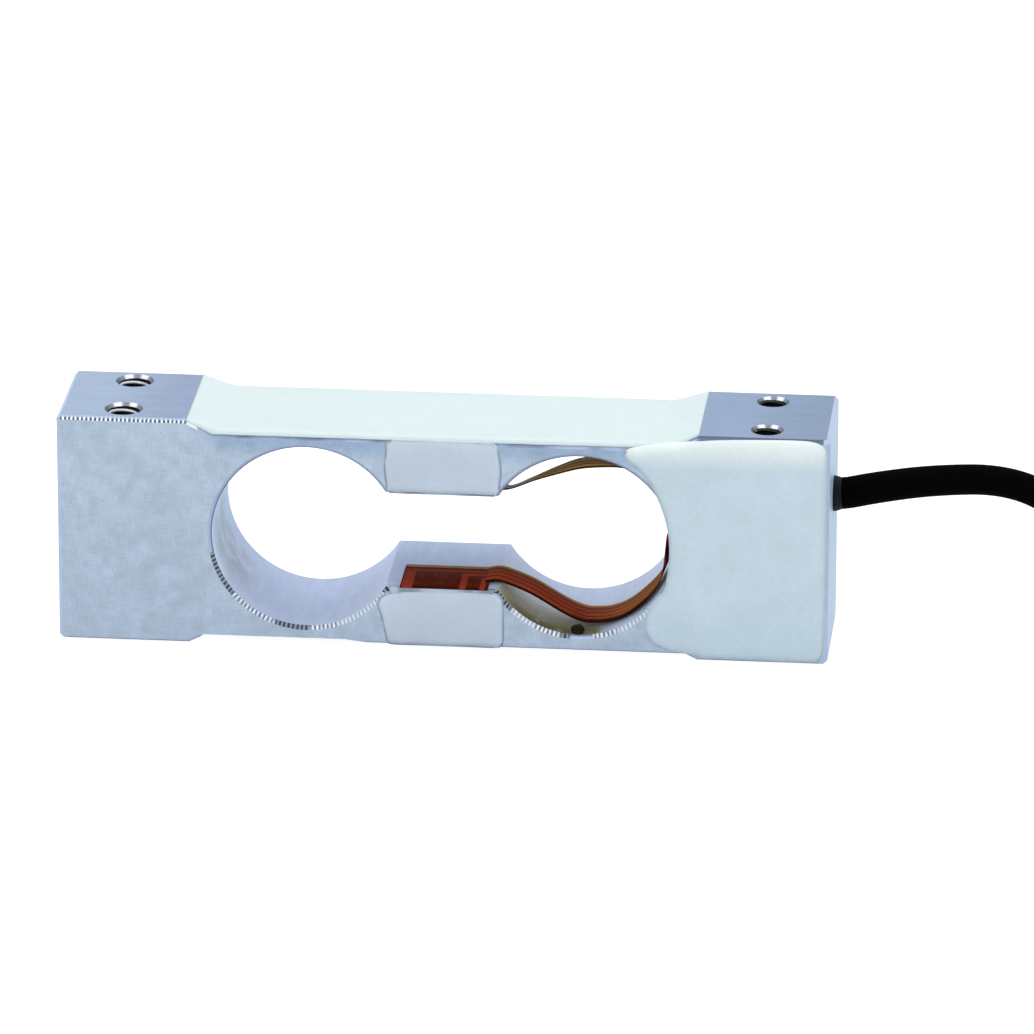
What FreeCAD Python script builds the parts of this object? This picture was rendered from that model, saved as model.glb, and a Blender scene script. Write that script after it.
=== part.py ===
"""Single point load cell: a milled aluminium binocular beam with its bridge wiring.

X runs along the beam, with the cable end at +X. Y is 0 at mid width and the front is at -Y. Z is up.
The part stands on the undersides of its two end blocks, at z = 0. Millimetres.
"""
import FreeCAD, Part
import Sketcher
import math
import os

os.makedirs("parts", exist_ok=True)
doc = FreeCAD.newDocument("load_cell")
Vector = FreeCAD.Vector

# ---------------------------------------------------------------- driving dimensions
SIZES = {
    # beam
    "beam_length": 120.0,
    "beam_width": 22.0,
    "beam_height": 36.8,
    "block_length": 20.3,
    "top_recess": 2.1,
    "top_slope_run": 4.0,
    "bottom_recess": 0.9,
    "bottom_slope_run": 1.8,
    "trim_depth": 0.6,
    "trim_end": -11.8,
    "trim_run": 3.4,
    "edge_chamfer": 0.6,
    # dog-bone cut-out
    "bore_drop": 0.3,
    "top_web": 1.9,
    "bore_height": "=beam_height / 2 - bore_drop",
    "bore_radius": "=beam_height - top_recess - top_web - bore_height",
    "bore_spacing": 42.5,
    "slot_height": 15.6,
    # shallow channel across both middle webs
    "channel_width": 16.4,
    "channel_depth": 1.2,
    # tapped holes
    "hole_inset": 10.0,
    "hole_edge": 4.4,
    "hole_spacing": "=beam_width - 2 * hole_edge",
    "left_minor_radius": 2.5,
    "left_mouth_radius": 2.99,
    "right_minor_radius": 2.1,
    "right_mouth_radius": 2.55,
    # pocket for the terminal board, notch for the flexes, hole for the cable
    "pocket_wall": 1.65,
    "pocket_length": 8.0,
    "pocket_bottom": 6.0,
    "pocket_top": 30.0,
    "pocket_past_axis": 0.8,
    "pocket_depth": "=beam_width / 2 + pocket_past_axis",
    "pocket_corner": 1.5,
    "notch_drop": 6.5,
    "notch_rise": 4.3,
    "notch_bottom": "=bore_height - notch_drop",
    "notch_top": "=bore_height + notch_rise",
    "notch_past_axis": 0.3,
    "notch_depth": "=beam_width / 2 + notch_past_axis",
    "cable_radius": 2.35,
    "cable_height": 24.6,
    "cable_hole_gap": 0.25,
    "jacket_inset": 4.0,
    "seal_length": 3.6,
    # strain gauges
    "gauge_length": 6.0,
    "gauge_width": 4.6,
    "gauge_thickness": 0.12,
    # flex circuits
    "film_thickness": 0.15,
    "film_left": -6.6,
    "film_right": 7.2,
    "film_depth": 9.0,
    "arm_width": 4.0,
    "tail_width": 7.2,
    "tail_front": 3.6,
    "tail_entry": 1.3,
    "tail_start": 0.8,
    "lip_overhang": 0.7,
    "lower_lip_radius": 4.5,
    "lower_bend_inset": 3.4,
    "lower_bend_radius": "=bore_radius - lower_bend_inset",
    "lower_entry_radius": 1.6,
    "upper_lip_radius": 8.0,
    "upper_bend_radius": 9.2,
    "upper_entry_radius": 1.4,
    "tail_clearance": 1.0,
    "crown_clearance": 2.6,
    "copper_thickness": 0.06,
    "trace_width": 1.6,
    "trace_gap": 0.7,
    "trace_margin": 0.5,
    # silicone
    "coat_thickness": 0.65,
    "coat_overhang": 0.25,
    "bottom_coat_inset": 1.5,
    "bottom_coat_length": 72.0,
    "pad_proud": 0.25,
    "potting_proud": 0.7,
    "potting_margin": 0.6,
    "potting_depth": 3.4,
    # terminal board
    "board_thickness": 1.0,
    "board_gap": 0.3,
    "board_top": 28.0,
    "chip_length": 2.0,
    "chip_width": 1.25,
    "chip_thickness": 0.5,
    "solder_length": 1.4,
    # cable cores
    "core_radius": 0.4,
    "core_pitch": 1.0,
    "core_landing": 2.8,
    "conductor_radius": 0.25,
    "stripped_length": 5.0,
    "far_core_pitch": 3.0,
    # put-away cable
    "coil_reach": 60.3,
    "coil_y": 15.15,
    "coil_radius": 24.5,
    "coil_turn_gap": 0.1,
}

sheet = doc.addObject("Spreadsheet::Sheet", "sizes")
for row, (alias, value) in enumerate(SIZES.items(), start=1):
    sheet.set("A%d" % row, alias)
    sheet.set("B%d" % row, str(value))
    sheet.setAlias("B%d" % row, alias)
doc.recompute()


def size(alias):
    """The value that the sheet holds under an alias."""
    return float(sheet.get(alias))


# ---------------------------------------------------------------- helpers
def bind(feature, expressions):
    """Bind properties of a feature to expressions in the sheet's aliases, written as {alias}."""
    for prop, text in expressions.items():
        feature.setExpression(prop, text.replace("{", "sizes.").replace("}", ""))


def place(feature, x="0", y="0", z="0"):
    """Bind a feature's place."""
    bind(feature, {"Placement.Base.x": x, "Placement.Base.y": y, "Placement.Base.z": z})


def block(name, length, width, height, x, y, z):
    """A Part::Box with every size and its corner bound."""
    box = doc.addObject("Part::Box", name)
    bind(box, {"Length": length, "Width": width, "Height": height})
    place(box, x, y, z)
    return box


def origin_plane(body, role):
    """The body's own origin plane with this role."""
    return next(f for f in body.Origin.OriginFeatures if f.Role == role)


def new_sketch(body, name, role, offset="0"):
    """A sketch on one of the body's origin planes, moved along its normal by offset."""
    sketch = body.newObject("Sketcher::SketchObject", name)
    sketch.AttachmentSupport = (origin_plane(body, role), [""])
    sketch.MapMode = "FlatFace"
    bind(sketch, {"AttachmentOffset.Base.z": offset})
    return sketch


def fix_point(sketch, geometry, position, across, up):
    """Hold a point at bound distances from the sketch's origin."""
    for kind, text in (("DistanceX", across), ("DistanceY", up)):
        index = sketch.addConstraint(Sketcher.Constraint(kind, -1, 1, geometry, position, 1.0))
        bind(sketch, {"Constraints[%d]" % index: text})


def add_polygon(sketch, corners):
    """A closed outline of straight edges; each corner is a pair of bound distances."""
    count = len(corners)
    first = sketch.GeometryCount
    ring = [Vector(math.cos(2 * math.pi * i / count), math.sin(2 * math.pi * i / count), 0)
            for i in range(count)]
    for i in range(count):
        sketch.addGeometry(Part.LineSegment(ring[i], ring[(i + 1) % count]), False)
    for i in range(count):
        following = first + (i + 1) % count
        sketch.addConstraint(Sketcher.Constraint("Coincident", first + i, 2, following, 1))
    for i, (across, up) in enumerate(corners):
        fix_point(sketch, first + i, 1, across, up)


def add_circle(sketch, across, up, radius):
    """A circle with bound centre and radius."""
    index = sketch.addGeometry(Part.Circle(Vector(0, 0, 0), Vector(0, 0, 1), 1.0), False)
    fix_point(sketch, index, 3, across, up)
    held = sketch.addConstraint(Sketcher.Constraint("Radius", index, 1.0))
    bind(sketch, {"Constraints[%d]" % held: radius})


def rectangle(left, right, bottom, top):
    """Corners of an upright rectangle, for add_polygon."""
    return [(left, bottom), (right, bottom), (right, top), (left, top)]


def pad(body, name, sketch, length):
    """Pad a sketch by half its length to each side."""
    feature = body.newObject("PartDesign::Pad", name)
    feature.Profile = sketch
    feature.Midplane = True
    bind(feature, {"Length": length})
    body.Tip = feature
    return feature


def pocket(body, name, sketch, depth=None):
    """Cut a sketch right through both ways, or to a depth behind it."""
    before = body.Shape.Volume
    feature = body.newObject("PartDesign::Pocket", name)
    feature.Profile = sketch
    if depth is None:
        feature.Type = "ThroughAll"
        feature.Midplane = True
    else:
        bind(feature, {"Length": depth})
    body.Tip = feature
    doc.recompute()
    if body.Shape.Volume >= before:
        raise RuntimeError(name + " cut nothing")
    return feature


def dress(body, kind, name, wanted, radius):
    """Chamfer or fillet the tip's edges for which wanted(edge) is true."""
    base = body.Tip
    names = ["Edge%d" % i for i, edge in enumerate(base.Shape.Edges, start=1) if wanted(edge)]
    feature = body.newObject("PartDesign::" + kind, name)
    feature.Base = (base, names)
    bind(feature, {"Size" if kind == "Chamfer" else "Radius": radius})
    body.Tip = feature
    doc.recompute()
    return feature


def near(a, b):
    """Whether two lengths agree."""
    return abs(a - b) < 1e-4


def union(name, members):
    """Fuse several objects."""
    fused = doc.addObject("Part::MultiFuse", name)
    fused.Shapes = members
    fused.Refine = True
    return fused


def difference(name, base, tools):
    """Cut a list of objects out of a base."""
    cut = doc.addObject("Part::Cut", name)
    cut.Base = base
    cut.Tool = tools[0] if len(tools) == 1 else union(name + "_tools", tools)
    return cut


def solid_feature(name, shape):
    """An object that holds a shape made with Part's own functions."""
    feature = doc.addObject("Part::Feature", name)
    feature.Shape = shape
    return feature


# ---------------------------------------------------------------- beam
HALF = "{beam_length} / 2"
FRONT = "-{beam_width} / 2"
TOP_FLOOR = "({beam_height} - {top_recess})"
SLOT_CEILING = "({bore_height} + {slot_height} / 2)"
SLOT_FLOOR = "({bore_height} - {slot_height} / 2)"
CHANNEL_FLOOR = "({channel_depth} - {beam_width} / 2)"
POCKET_LEFT = "({bore_spacing} / 2 + {bore_radius} + {pocket_wall})"
POCKET_RIGHT = "(%s + {pocket_length})" % POCKET_LEFT


def pocket_left():
    """Place of the pocket's wall nearest the bore."""
    return size("bore_spacing") / 2 + size("bore_radius") + size("pocket_wall")


def pocket_right():
    """Place of the pocket's wall nearest the cable."""
    return pocket_left() + size("pocket_length")


def make_beam():
    """The one-piece beam: profile, dog-bone, reliefs, channel, pocket, notch and holes."""
    body = doc.addObject("PartDesign::Body", "beam_body")
    block_end = "(%s - {block_length})" % HALF
    slope_end = "(%s - {top_slope_run})" % block_end
    under_end = "(%s - {bottom_slope_run})" % block_end
    profile = new_sketch(body, "side_profile", "XZ_Plane")
    right = [
        (block_end, "0"), (HALF, "0"), (HALF, "{beam_height}"), (block_end, "{beam_height}"),
        (slope_end, TOP_FLOOR),
    ]
    left = [("-" + across, up) for across, up in reversed(right)]
    under = [("-" + under_end, "{bottom_recess}"), (under_end, "{bottom_recess}")]
    add_polygon(profile, right + left + under)
    pad(body, "bar", profile, "{beam_width}")
    doc.recompute()

    bores = new_sketch(body, "bore_circles", "XZ_Plane")
    for side in ("-", ""):
        add_circle(bores, side + "{bore_spacing} / 2", "{bore_height}", "{bore_radius}")
    pocket(body, "bores", bores)
    slot = new_sketch(body, "slot_outline", "XZ_Plane")
    add_polygon(slot, rectangle("-{bore_spacing} / 2", "{bore_spacing} / 2", SLOT_FLOOR, SLOT_CEILING))
    pocket(body, "slot", slot)

    half_width = size("beam_width") / 2
    half_length = size("beam_length") / 2

    def on_outline(edge):
        ends = [v.Point for v in edge.Vertexes]
        on_side = all(near(abs(p.y), half_width) and near(p.y, ends[0].y) for p in ends)
        across_end = all(near(abs(p.x), half_length) for p in ends) and len(ends) == 2
        return on_side or (across_end and not near(ends[0].y, ends[1].y))

    dress(body, "Chamfer", "edge_breaks", on_outline, "{edge_chamfer}")

    trim = new_sketch(body, "trim_outline", "XZ_Plane")
    trim_start = "({bottom_slope_run} + {block_length} - %s)" % HALF
    trim_top = "({bottom_recess} + {trim_depth})"
    add_polygon(trim, [
        (trim_start, "0"), ("{trim_end}", "0"), ("{trim_end}", "{bottom_recess}"),
        ("{trim_end} - {trim_run}", trim_top), (trim_start + " + {trim_depth}", trim_top),
        (trim_start, "{bottom_recess}"),
    ])
    pocket(body, "trim_relief", trim)

    front = "{beam_width} / 2"
    channel = new_sketch(body, "channel_outline", "XZ_Plane", front)
    add_polygon(channel, rectangle("-{channel_width} / 2", "{channel_width} / 2", "0", "{beam_height}"))
    pocket(body, "channel", channel, "{channel_depth}")
    recess = new_sketch(body, "pocket_outline", "XZ_Plane", front)
    add_polygon(recess, rectangle(POCKET_LEFT, POCKET_RIGHT, "{pocket_bottom}", "{pocket_top}"))
    pocket(body, "terminal_pocket", recess, "{pocket_depth}")

    walls = (pocket_left(), pocket_right())
    ends = (size("pocket_bottom"), size("pocket_top"))

    def pocket_corner(edge):
        points = [v.Point for v in edge.Vertexes]
        if len(points) != 2 or near(points[0].y, points[1].y):
            return False
        return all(any(near(p.x, w) for w in walls) and any(near(p.z, e) for e in ends) for p in points)

    dress(body, "Fillet", "pocket_corners", pocket_corner, "{pocket_corner}")
    notch = new_sketch(body, "notch_outline", "XZ_Plane", front)
    notch_left = "{bore_spacing} / 2"
    add_polygon(notch, rectangle(notch_left, POCKET_LEFT + " + {pocket_corner}",
                                 "{notch_bottom}", "{notch_top}"))
    pocket(body, "flex_notch", notch, "{notch_depth}")

    holes = new_sketch(body, "tapped_holes", "XY_Plane")
    for side, radius in (("-", "{left_minor_radius}"), ("", "{right_minor_radius}")):
        for row in ("-", ""):
            add_circle(holes, "%s(%s - {hole_inset})" % (side, HALF), row + "{hole_spacing} / 2", radius)
    pocket(body, "tap_drills", holes)
    cable_way = new_sketch(body, "cable_hole_circle", "YZ_Plane", HALF)
    add_circle(cable_way, "0", "{cable_height}", "{cable_radius} + {cable_hole_gap}")
    pocket(body, "cable_hole", cable_way, "%s - %s + {pocket_corner}" % (HALF, POCKET_RIGHT))

    def mouth(radius):
        def wanted(edge):
            flat = near(edge.BoundBox.ZLength, 0)
            at_face = near(edge.BoundBox.ZMin, 0) or near(edge.BoundBox.ZMin, size("beam_height"))
            return flat and at_face and hasattr(edge.Curve, "Radius") and near(edge.Curve.Radius, radius)
        return wanted

    for side in ("left", "right"):
        growth = "{%s_mouth_radius} - {%s_minor_radius}" % (side, side)
        dress(body, "Chamfer", side + "_mouths", mouth(size(side + "_minor_radius")), growth)
    return body


beam = make_beam()

# ---------------------------------------------------------------- strain gauges
TRIM_FLOOR = "({bottom_recess} + {trim_depth})"


def make_gauge(name, side, height):
    """A foil gauge, bonded over or under a bore, where the web is thinnest."""
    x = side + "{bore_spacing} / 2 - {gauge_length} / 2"
    return block(name, "{gauge_length}", "{gauge_width}", "{gauge_thickness}",
                 x, "-{gauge_width} / 2", height)


gauges = [
    make_gauge("gauge_top_left", "-", TOP_FLOOR),
    make_gauge("gauge_top_right", "", TOP_FLOOR),
    make_gauge("gauge_bottom_left", "-", TRIM_FLOOR + " - {gauge_thickness}"),
    make_gauge("gauge_bottom_right", "", "{bottom_recess} - {gauge_thickness}"),
]

# ---------------------------------------------------------------- flex circuits
FILM_WIDTH = "({film_right} - {film_left})"
FILM_FACE = "(%s - {film_thickness})" % CHANNEL_FLOOR


def walk(start, moves, offset):
    """Edges in the XZ plane beside a path of straight runs and turns, at an offset to its left.

    A move is a length, for a straight run, or a pair: degrees of turn, up being positive, and radius.
    """
    x, z = start
    heading = 0.0
    edges = []

    def beside(px, pz, angle):
        return Vector(px - math.sin(angle) * offset, 0, pz + math.cos(angle) * offset)

    for move in moves:
        here = beside(x, z, heading)
        if not isinstance(move, tuple):
            x += move * math.cos(heading)
            z += move * math.sin(heading)
            edges.append(Part.makeLine(here, beside(x, z, heading)))
            continue
        turn = math.radians(move[0])
        radius = math.copysign(move[1], turn)
        centre = (x - radius * math.sin(heading), z + radius * math.cos(heading))
        stops = []
        for angle in (heading + turn / 2, heading + turn):
            x = centre[0] + radius * math.sin(angle)
            z = centre[1] - radius * math.cos(angle)
            stops.append(beside(x, z, angle))
        heading += turn
        edges.append(Part.Arc(here, stops[0], stops[1]).toShape())
    return edges


def strip(route, low, high, front, width):
    """A bent strip: the band between two offsets of one route, from front backwards along Y."""
    sides = [walk(*route, low), walk(*route, high)]
    near_end = Part.makeLine(sides[0][0].Vertexes[0].Point, sides[1][0].Vertexes[0].Point)
    far_end = Part.makeLine(sides[0][-1].Vertexes[-1].Point, sides[1][-1].Vertexes[-1].Point)
    wire = Part.Wire(Part.__sortEdges__(sides[0] + [far_end] + sides[1] + [near_end]))
    wire.translate(Vector(0, front, 0))
    return Part.Face(wire).extrude(Vector(0, width, 0))


def slot_lip():
    """Place along X of the edge between the slot and the right bore."""
    return size("bore_spacing") / 2 - math.sqrt(size("bore_radius") ** 2 - size("slot_height") ** 2 / 4)


def tail_route(height, limit, side, lean, name):
    """A tail's route: off the slot's face, over the lip, round inside the bore and into the notch.

    side is 1 for the upper tail and -1 for the lower. limit is the height of its crown or lowest point.
    """
    lip_radius = size(name + "_lip_radius")
    bend_radius = size(name + "_bend_radius")
    entry_radius = size(name + "_entry_radius")
    start = (size("film_right") - size("tail_start"), height)
    angle = math.radians(lean)
    flat_run = slot_lip() + size("lip_overhang") - start[0]
    left = abs(limit - height) - (lip_radius + bend_radius) * (1 - math.cos(angle))
    slope_run = left / math.sin(angle)
    reach = start[0] + flat_run + slope_run * math.cos(angle)
    reach += (lip_radius + bend_radius) * math.sin(angle) + bend_radius + entry_radius
    entry_run = pocket_left() + size("tail_entry") - reach
    moves = [flat_run, (side * lean, lip_radius), slope_run, (-side * (90 + lean), bend_radius),
             (side * 90, entry_radius), entry_run]
    return start, moves


def lower_route():
    """The lower tail sags to just above the right bore's lowest line."""
    floor = size("bore_height") - size("slot_height") / 2 + size("film_thickness") / 2
    lowest = size("bore_height") - size("bore_radius") + size("tail_clearance")
    return tail_route(floor, lowest, -1, 36, "lower")


def upper_route():
    """The upper tail arches under the right bore's crown."""
    ceiling = size("bore_height") + size("slot_height") / 2 - size("film_thickness") / 2
    crown = size("bore_height") + size("bore_radius") - size("crown_clearance")
    return tail_route(ceiling, crown, 1, 20, "upper")


def make_film(name, route, seat_height, face_height, face_length, shelf_height, arms):
    """A flex circuit: arms to the gauges, a fold down the channel, a shelf in the slot and a tail."""
    half_film = size("film_thickness") / 2
    tail_front = size("tail_front") - size("beam_width") / 2
    tail = solid_feature(name + "_tail", strip(route, -half_film, half_film, tail_front,
                                               size("tail_width")))
    neck_width = "(-{arm_width} / 2 - %s)" % FILM_FACE
    neck = block(name + "_neck", FILM_WIDTH, neck_width, "{film_thickness}",
                 "{film_left}", FILM_FACE, seat_height)
    face = block(name + "_face", FILM_WIDTH, "{film_thickness}", face_length,
                 "{film_left}", FILM_FACE, face_height)
    shelf = block(name + "_shelf", FILM_WIDTH, "{film_depth} + {film_thickness}", "{film_thickness}",
                  "{film_left}", FILM_FACE, shelf_height)
    return union(name, [tail, neck, face, shelf, arms])


ARM_END = "({bore_spacing} / 2 - {gauge_length} / 2)"
top_arms = block("top_arms", "2 * " + ARM_END, "{arm_width}", "{film_thickness}",
                 "-" + ARM_END, "-{arm_width} / 2", TOP_FLOOR)


def make_bottom_arms():
    """The lower flex's arms, which follow the trimmed underside to both lower gauges."""
    body = doc.addObject("PartDesign::Body", "bottom_arms")
    outline = new_sketch(body, "arm_outline", "XZ_Plane")
    bend = "({trim_end} - {trim_run})"
    below = " - {film_thickness}"
    add_polygon(outline, [
        ("-" + ARM_END, TRIM_FLOOR), (bend, TRIM_FLOOR), ("{trim_end}", "{bottom_recess}"),
        (ARM_END, "{bottom_recess}"), (ARM_END, "{bottom_recess}" + below),
        ("{trim_end}", "{bottom_recess}" + below), (bend, TRIM_FLOOR + below),
        ("-" + ARM_END, TRIM_FLOOR + below),
    ])
    pad(body, "arm_strip", outline, "{arm_width}")
    return body


upper_film = make_film(
    "upper_flex_film", upper_route(), TOP_FLOOR,
    SLOT_CEILING + " - {film_thickness}",
    "(%s - %s + 2 * {film_thickness})" % (TOP_FLOOR, SLOT_CEILING),
    SLOT_CEILING + " - {film_thickness}", top_arms)
lower_film = make_film(
    "lower_flex_film", lower_route(), "{bottom_recess} - {film_thickness}",
    "{bottom_recess} - {film_thickness}",
    "(%s - {bottom_recess} + 2 * {film_thickness})" % SLOT_FLOOR,
    SLOT_FLOOR, make_bottom_arms())


def make_traces(name, route, bar_bottom):
    """Three copper traces: along the tail, over the shelf, and forward as bars."""
    half_film = size("film_thickness") / 2
    copper = size("copper_thickness")
    width = size("trace_width")
    pitch = width + size("trace_gap")
    bars = (size("film_right") - 0.5 * width, 0.0, size("film_left") + width)
    fold = size("channel_depth") - size("beam_width") / 2
    solids = []
    for lane, bar_x in enumerate(bars):
        front = size("tail_front") - size("beam_width") / 2 + size("trace_margin") + lane * pitch
        tail = strip(route, half_film, half_film + copper, front, width)
        run = Part.makeBox(route[0][0] - bar_x + width, width, copper,
                           Vector(bar_x - width, front, bar_bottom))
        bar = Part.makeBox(width, front - fold + width, copper,
                           Vector(bar_x - width, fold, bar_bottom))
        solids.append(tail.multiFuse([run, bar]).removeSplitter())
    return solid_feature(name, Part.makeCompound(solids))


film = size("film_thickness")
slot_floor = size("bore_height") - size("slot_height") / 2
lower_traces = make_traces("lower_flex_traces", lower_route(), slot_floor + film)


def make_upper_traces():
    """The upper flex's traces, on the tail only: its shelf is glued copper side up to the ceiling."""
    half_film = size("film_thickness") / 2
    pitch = size("trace_width") + size("trace_gap")
    solids = []
    for lane in range(3):
        front = size("tail_front") - size("beam_width") / 2 + size("trace_margin") + lane * pitch
        solids.append(strip(upper_route(), -half_film - size("copper_thickness"), -half_film,
                            front, size("trace_width")))
    return solid_feature("upper_flex_traces", Part.makeCompound(solids))


upper_traces = make_upper_traces()

# ---------------------------------------------------------------- terminal board
BOARD_FACE = "({pocket_depth} - {beam_width} / 2 - {board_thickness})"
board = block("terminal_board", "{pocket_length} - 2 * {board_gap}", "{board_thickness}",
              "{board_top} - {pocket_bottom} - {pocket_corner}",
              POCKET_LEFT + " + {board_gap}", BOARD_FACE, "{pocket_bottom} + {pocket_corner}")
chips = [
    block("chip_%d" % i, "{chip_length}", "{chip_thickness}", "{chip_width}",
          POCKET_RIGHT + " - {board_gap} - {chip_length} - 0.8", BOARD_FACE + " - {chip_thickness}",
          "{pocket_bottom} + {pocket_corner} + %s" % height)
    for i, height in enumerate(("1.0", "3.2", "5.4"))
]
trim_resistors = doc.addObject("Part::Compound", "trim_resistors")
trim_resistors.Links = chips


# ---------------------------------------------------------------- cable cores in the pocket
def board_face():
    """Height of the board's front face along Y."""
    return size("pocket_depth") - size("beam_width") / 2 - size("board_thickness")


def jacket_start():
    """Where the jacket ends, just inside the cable hole."""
    return size("beam_length") / 2 - size("jacket_inset")


def core_end(index):
    """Where a core ends on the board."""
    height = size("cable_height") + (index - 1.5) * size("core_pitch")
    return Vector(pocket_left() + size("core_landing"), board_face() - size("core_radius"), height)


def make_core(name, index):
    """One core, straight out of the jacket and across the pocket to its place on the board."""
    start = core_end(index)
    return solid_feature(name, Part.makeCylinder(size("core_radius"), jacket_start() - start.x,
                                                 start, Vector(1, 0, 0)))


CORE_COLOURS = ("red", "black", "green", "white")
cores = [make_core("core_" + colour, i) for i, colour in enumerate(CORE_COLOURS)]


def make_solder():
    """A solder joint at the end of each core, on the board's face."""
    radius = size("core_radius") * 0.75
    step = Vector(-size("solder_length"), 0, 0)
    joints = [Part.makeCylinder(radius, size("solder_length"), core_end(i) + step, Vector(1, 0, 0))
              for i in range(len(CORE_COLOURS))]
    return solid_feature("solder_joints", Part.makeCompound(joints))


solder = make_solder()

# ---------------------------------------------------------------- silicone
coat_slab = doc.addObject("PartDesign::Body", "coat_slab")


def make_top_coat():
    """Silicone over the recessed top, ending on both slopes and lipped over the front edge."""
    outline = new_sketch(coat_slab, "coat_outline", "XZ_Plane")
    block_end = "(%s - {block_length})" % HALF
    foot = "(%s - {top_slope_run})" % block_end
    head = "(%s - {top_slope_run} * ({top_recess} - {coat_thickness}) / {top_recess})" % block_end
    top = TOP_FLOOR + " + {coat_thickness}"
    add_polygon(outline, [("-" + foot, TOP_FLOOR), (foot, TOP_FLOOR), (head, top), ("-" + head, top)])
    pad(coat_slab, "slab", outline, "{beam_width}")
    lip = block("coat_lip", "2 * " + foot, "{edge_chamfer} + {coat_overhang}",
                "{coat_thickness} + {edge_chamfer}", "-" + foot,
                FRONT + " - {coat_overhang}", TOP_FLOOR + " - {edge_chamfer}")
    return union("top_coat_blank", [coat_slab, lip])


def make_side_pad(name, bottom, height):
    """A silicone pad that fills the channel across one web."""
    blank = block(name + "_blank", "{channel_width}", "{channel_depth} + {pad_proud}", height,
                  "-{channel_width} / 2", FRONT + " - {pad_proud}", bottom)
    film_here = upper_film if name.startswith("upper") else lower_film
    return difference(name, blank, [film_here, lower_traces])


upper_pad = make_side_pad("upper_side_pad", SLOT_CEILING, "(%s - %s)" % (TOP_FLOOR, SLOT_CEILING))
lower_pad = make_side_pad("lower_side_pad", "{bottom_recess}", "(%s - {bottom_recess})" % SLOT_FLOOR)
top_coat = difference("top_coat", make_top_coat(), [beam, upper_film, upper_pad] + gauges[:2])

bottom_blank = block(
    "bottom_coat_blank", "{bottom_coat_length}", "{beam_width} - 2 * {bottom_coat_inset}",
    "{coat_thickness} + {trim_depth}", "-{bottom_coat_length} / 2",
    FRONT + " + {bottom_coat_inset}", "{bottom_recess} - {coat_thickness}")
bottom_coat = difference("bottom_coat", bottom_blank, [beam, lower_film] + gauges[2:])


def make_potting():
    """Silicone that closes the mouth of the pocket and notch and spreads over the front face."""
    spread = doc.addObject("PartDesign::Body", "potting_spread")
    outline = new_sketch(spread, "spread_outline", "XZ_Plane", "({beam_width} + {potting_proud}) / 2")
    edge = "(%s - {potting_margin})" % HALF
    rim = "({bore_spacing} / 2 + {bore_radius} %s)"
    add_polygon(outline, [
        (rim % "- 1.9", "{bottom_recess} + 0.8"), (edge + " - 0.6", "{potting_margin} + 0.6"),
        (edge, "{potting_margin} + 1.4"), (edge, "{beam_height} - {potting_margin} - 1.0"),
        (edge + " - 1.2", "{beam_height} - {potting_margin}"),
        (rim % "+ 4.6", "{beam_height} - {potting_margin}"), (rim % "- 7.3", TOP_FLOOR + " - 0.4"),
        (rim % "- 5.2", TOP_FLOOR + " - 4.1"), (rim % "- 1.4", TOP_FLOOR + " - 9.0"),
        (rim % "- 0.6", "{notch_top}"), (rim % "- 0.6", "{notch_bottom}"),
        (rim % "- 3.3", "{notch_bottom} - 3.2"), (rim % "- 4.6", "{notch_bottom} - 5.4"),
    ])
    pad(spread, "spread", outline, "{potting_proud}")
    doc.recompute()

    face = -size("beam_width") / 2 - size("potting_proud")

    def outer_rim(edge_shape):
        return near(edge_shape.BoundBox.YMax, face) and near(edge_shape.BoundBox.YMin, face)

    dress(spread, "Fillet", "soft_rim", outer_rim, "{potting_proud} * 0.7")
    fill = block("pocket_fill", "{pocket_length}", "{potting_depth}",
                 "{pocket_top} - {pocket_bottom}", POCKET_LEFT, FRONT, "{pocket_bottom}")
    notch_left = "({bore_spacing} / 2 + {bore_radius} - 0.6)"
    plug = block("notch_fill", POCKET_LEFT + " + {pocket_corner} - " + notch_left, "{potting_depth}",
                 "{notch_top} - {notch_bottom}", notch_left, FRONT, "{notch_bottom}")
    return difference("side_potting", union("potting_blank", [spread, fill, plug]), [beam, top_coat])


potting = make_potting()


# ---------------------------------------------------------------- cable
# The free run's route: out of the end face, a low arch, down to the surface and into the coil.
# Each corner is a distance beyond the end face, a shift in Y, and a share of the exit's height.
ROUTE = [
    (4.2, 0.0, 1.0),
    (12.6, 0.0, 1.103),
    (24.0, 0.3, 1.139),
    (34.5, -1.2, 0.991),
    (44.0, -4.3, 0.640),
    (53.5, -7.9, 0.362),
    (61.3, -9.35, 0.211),
]


def disc(centre, direction):
    """The cable's round section at one place along it."""
    return Part.Face(Part.Wire(Part.makeCircle(size("cable_radius"), centre, direction)))


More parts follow.
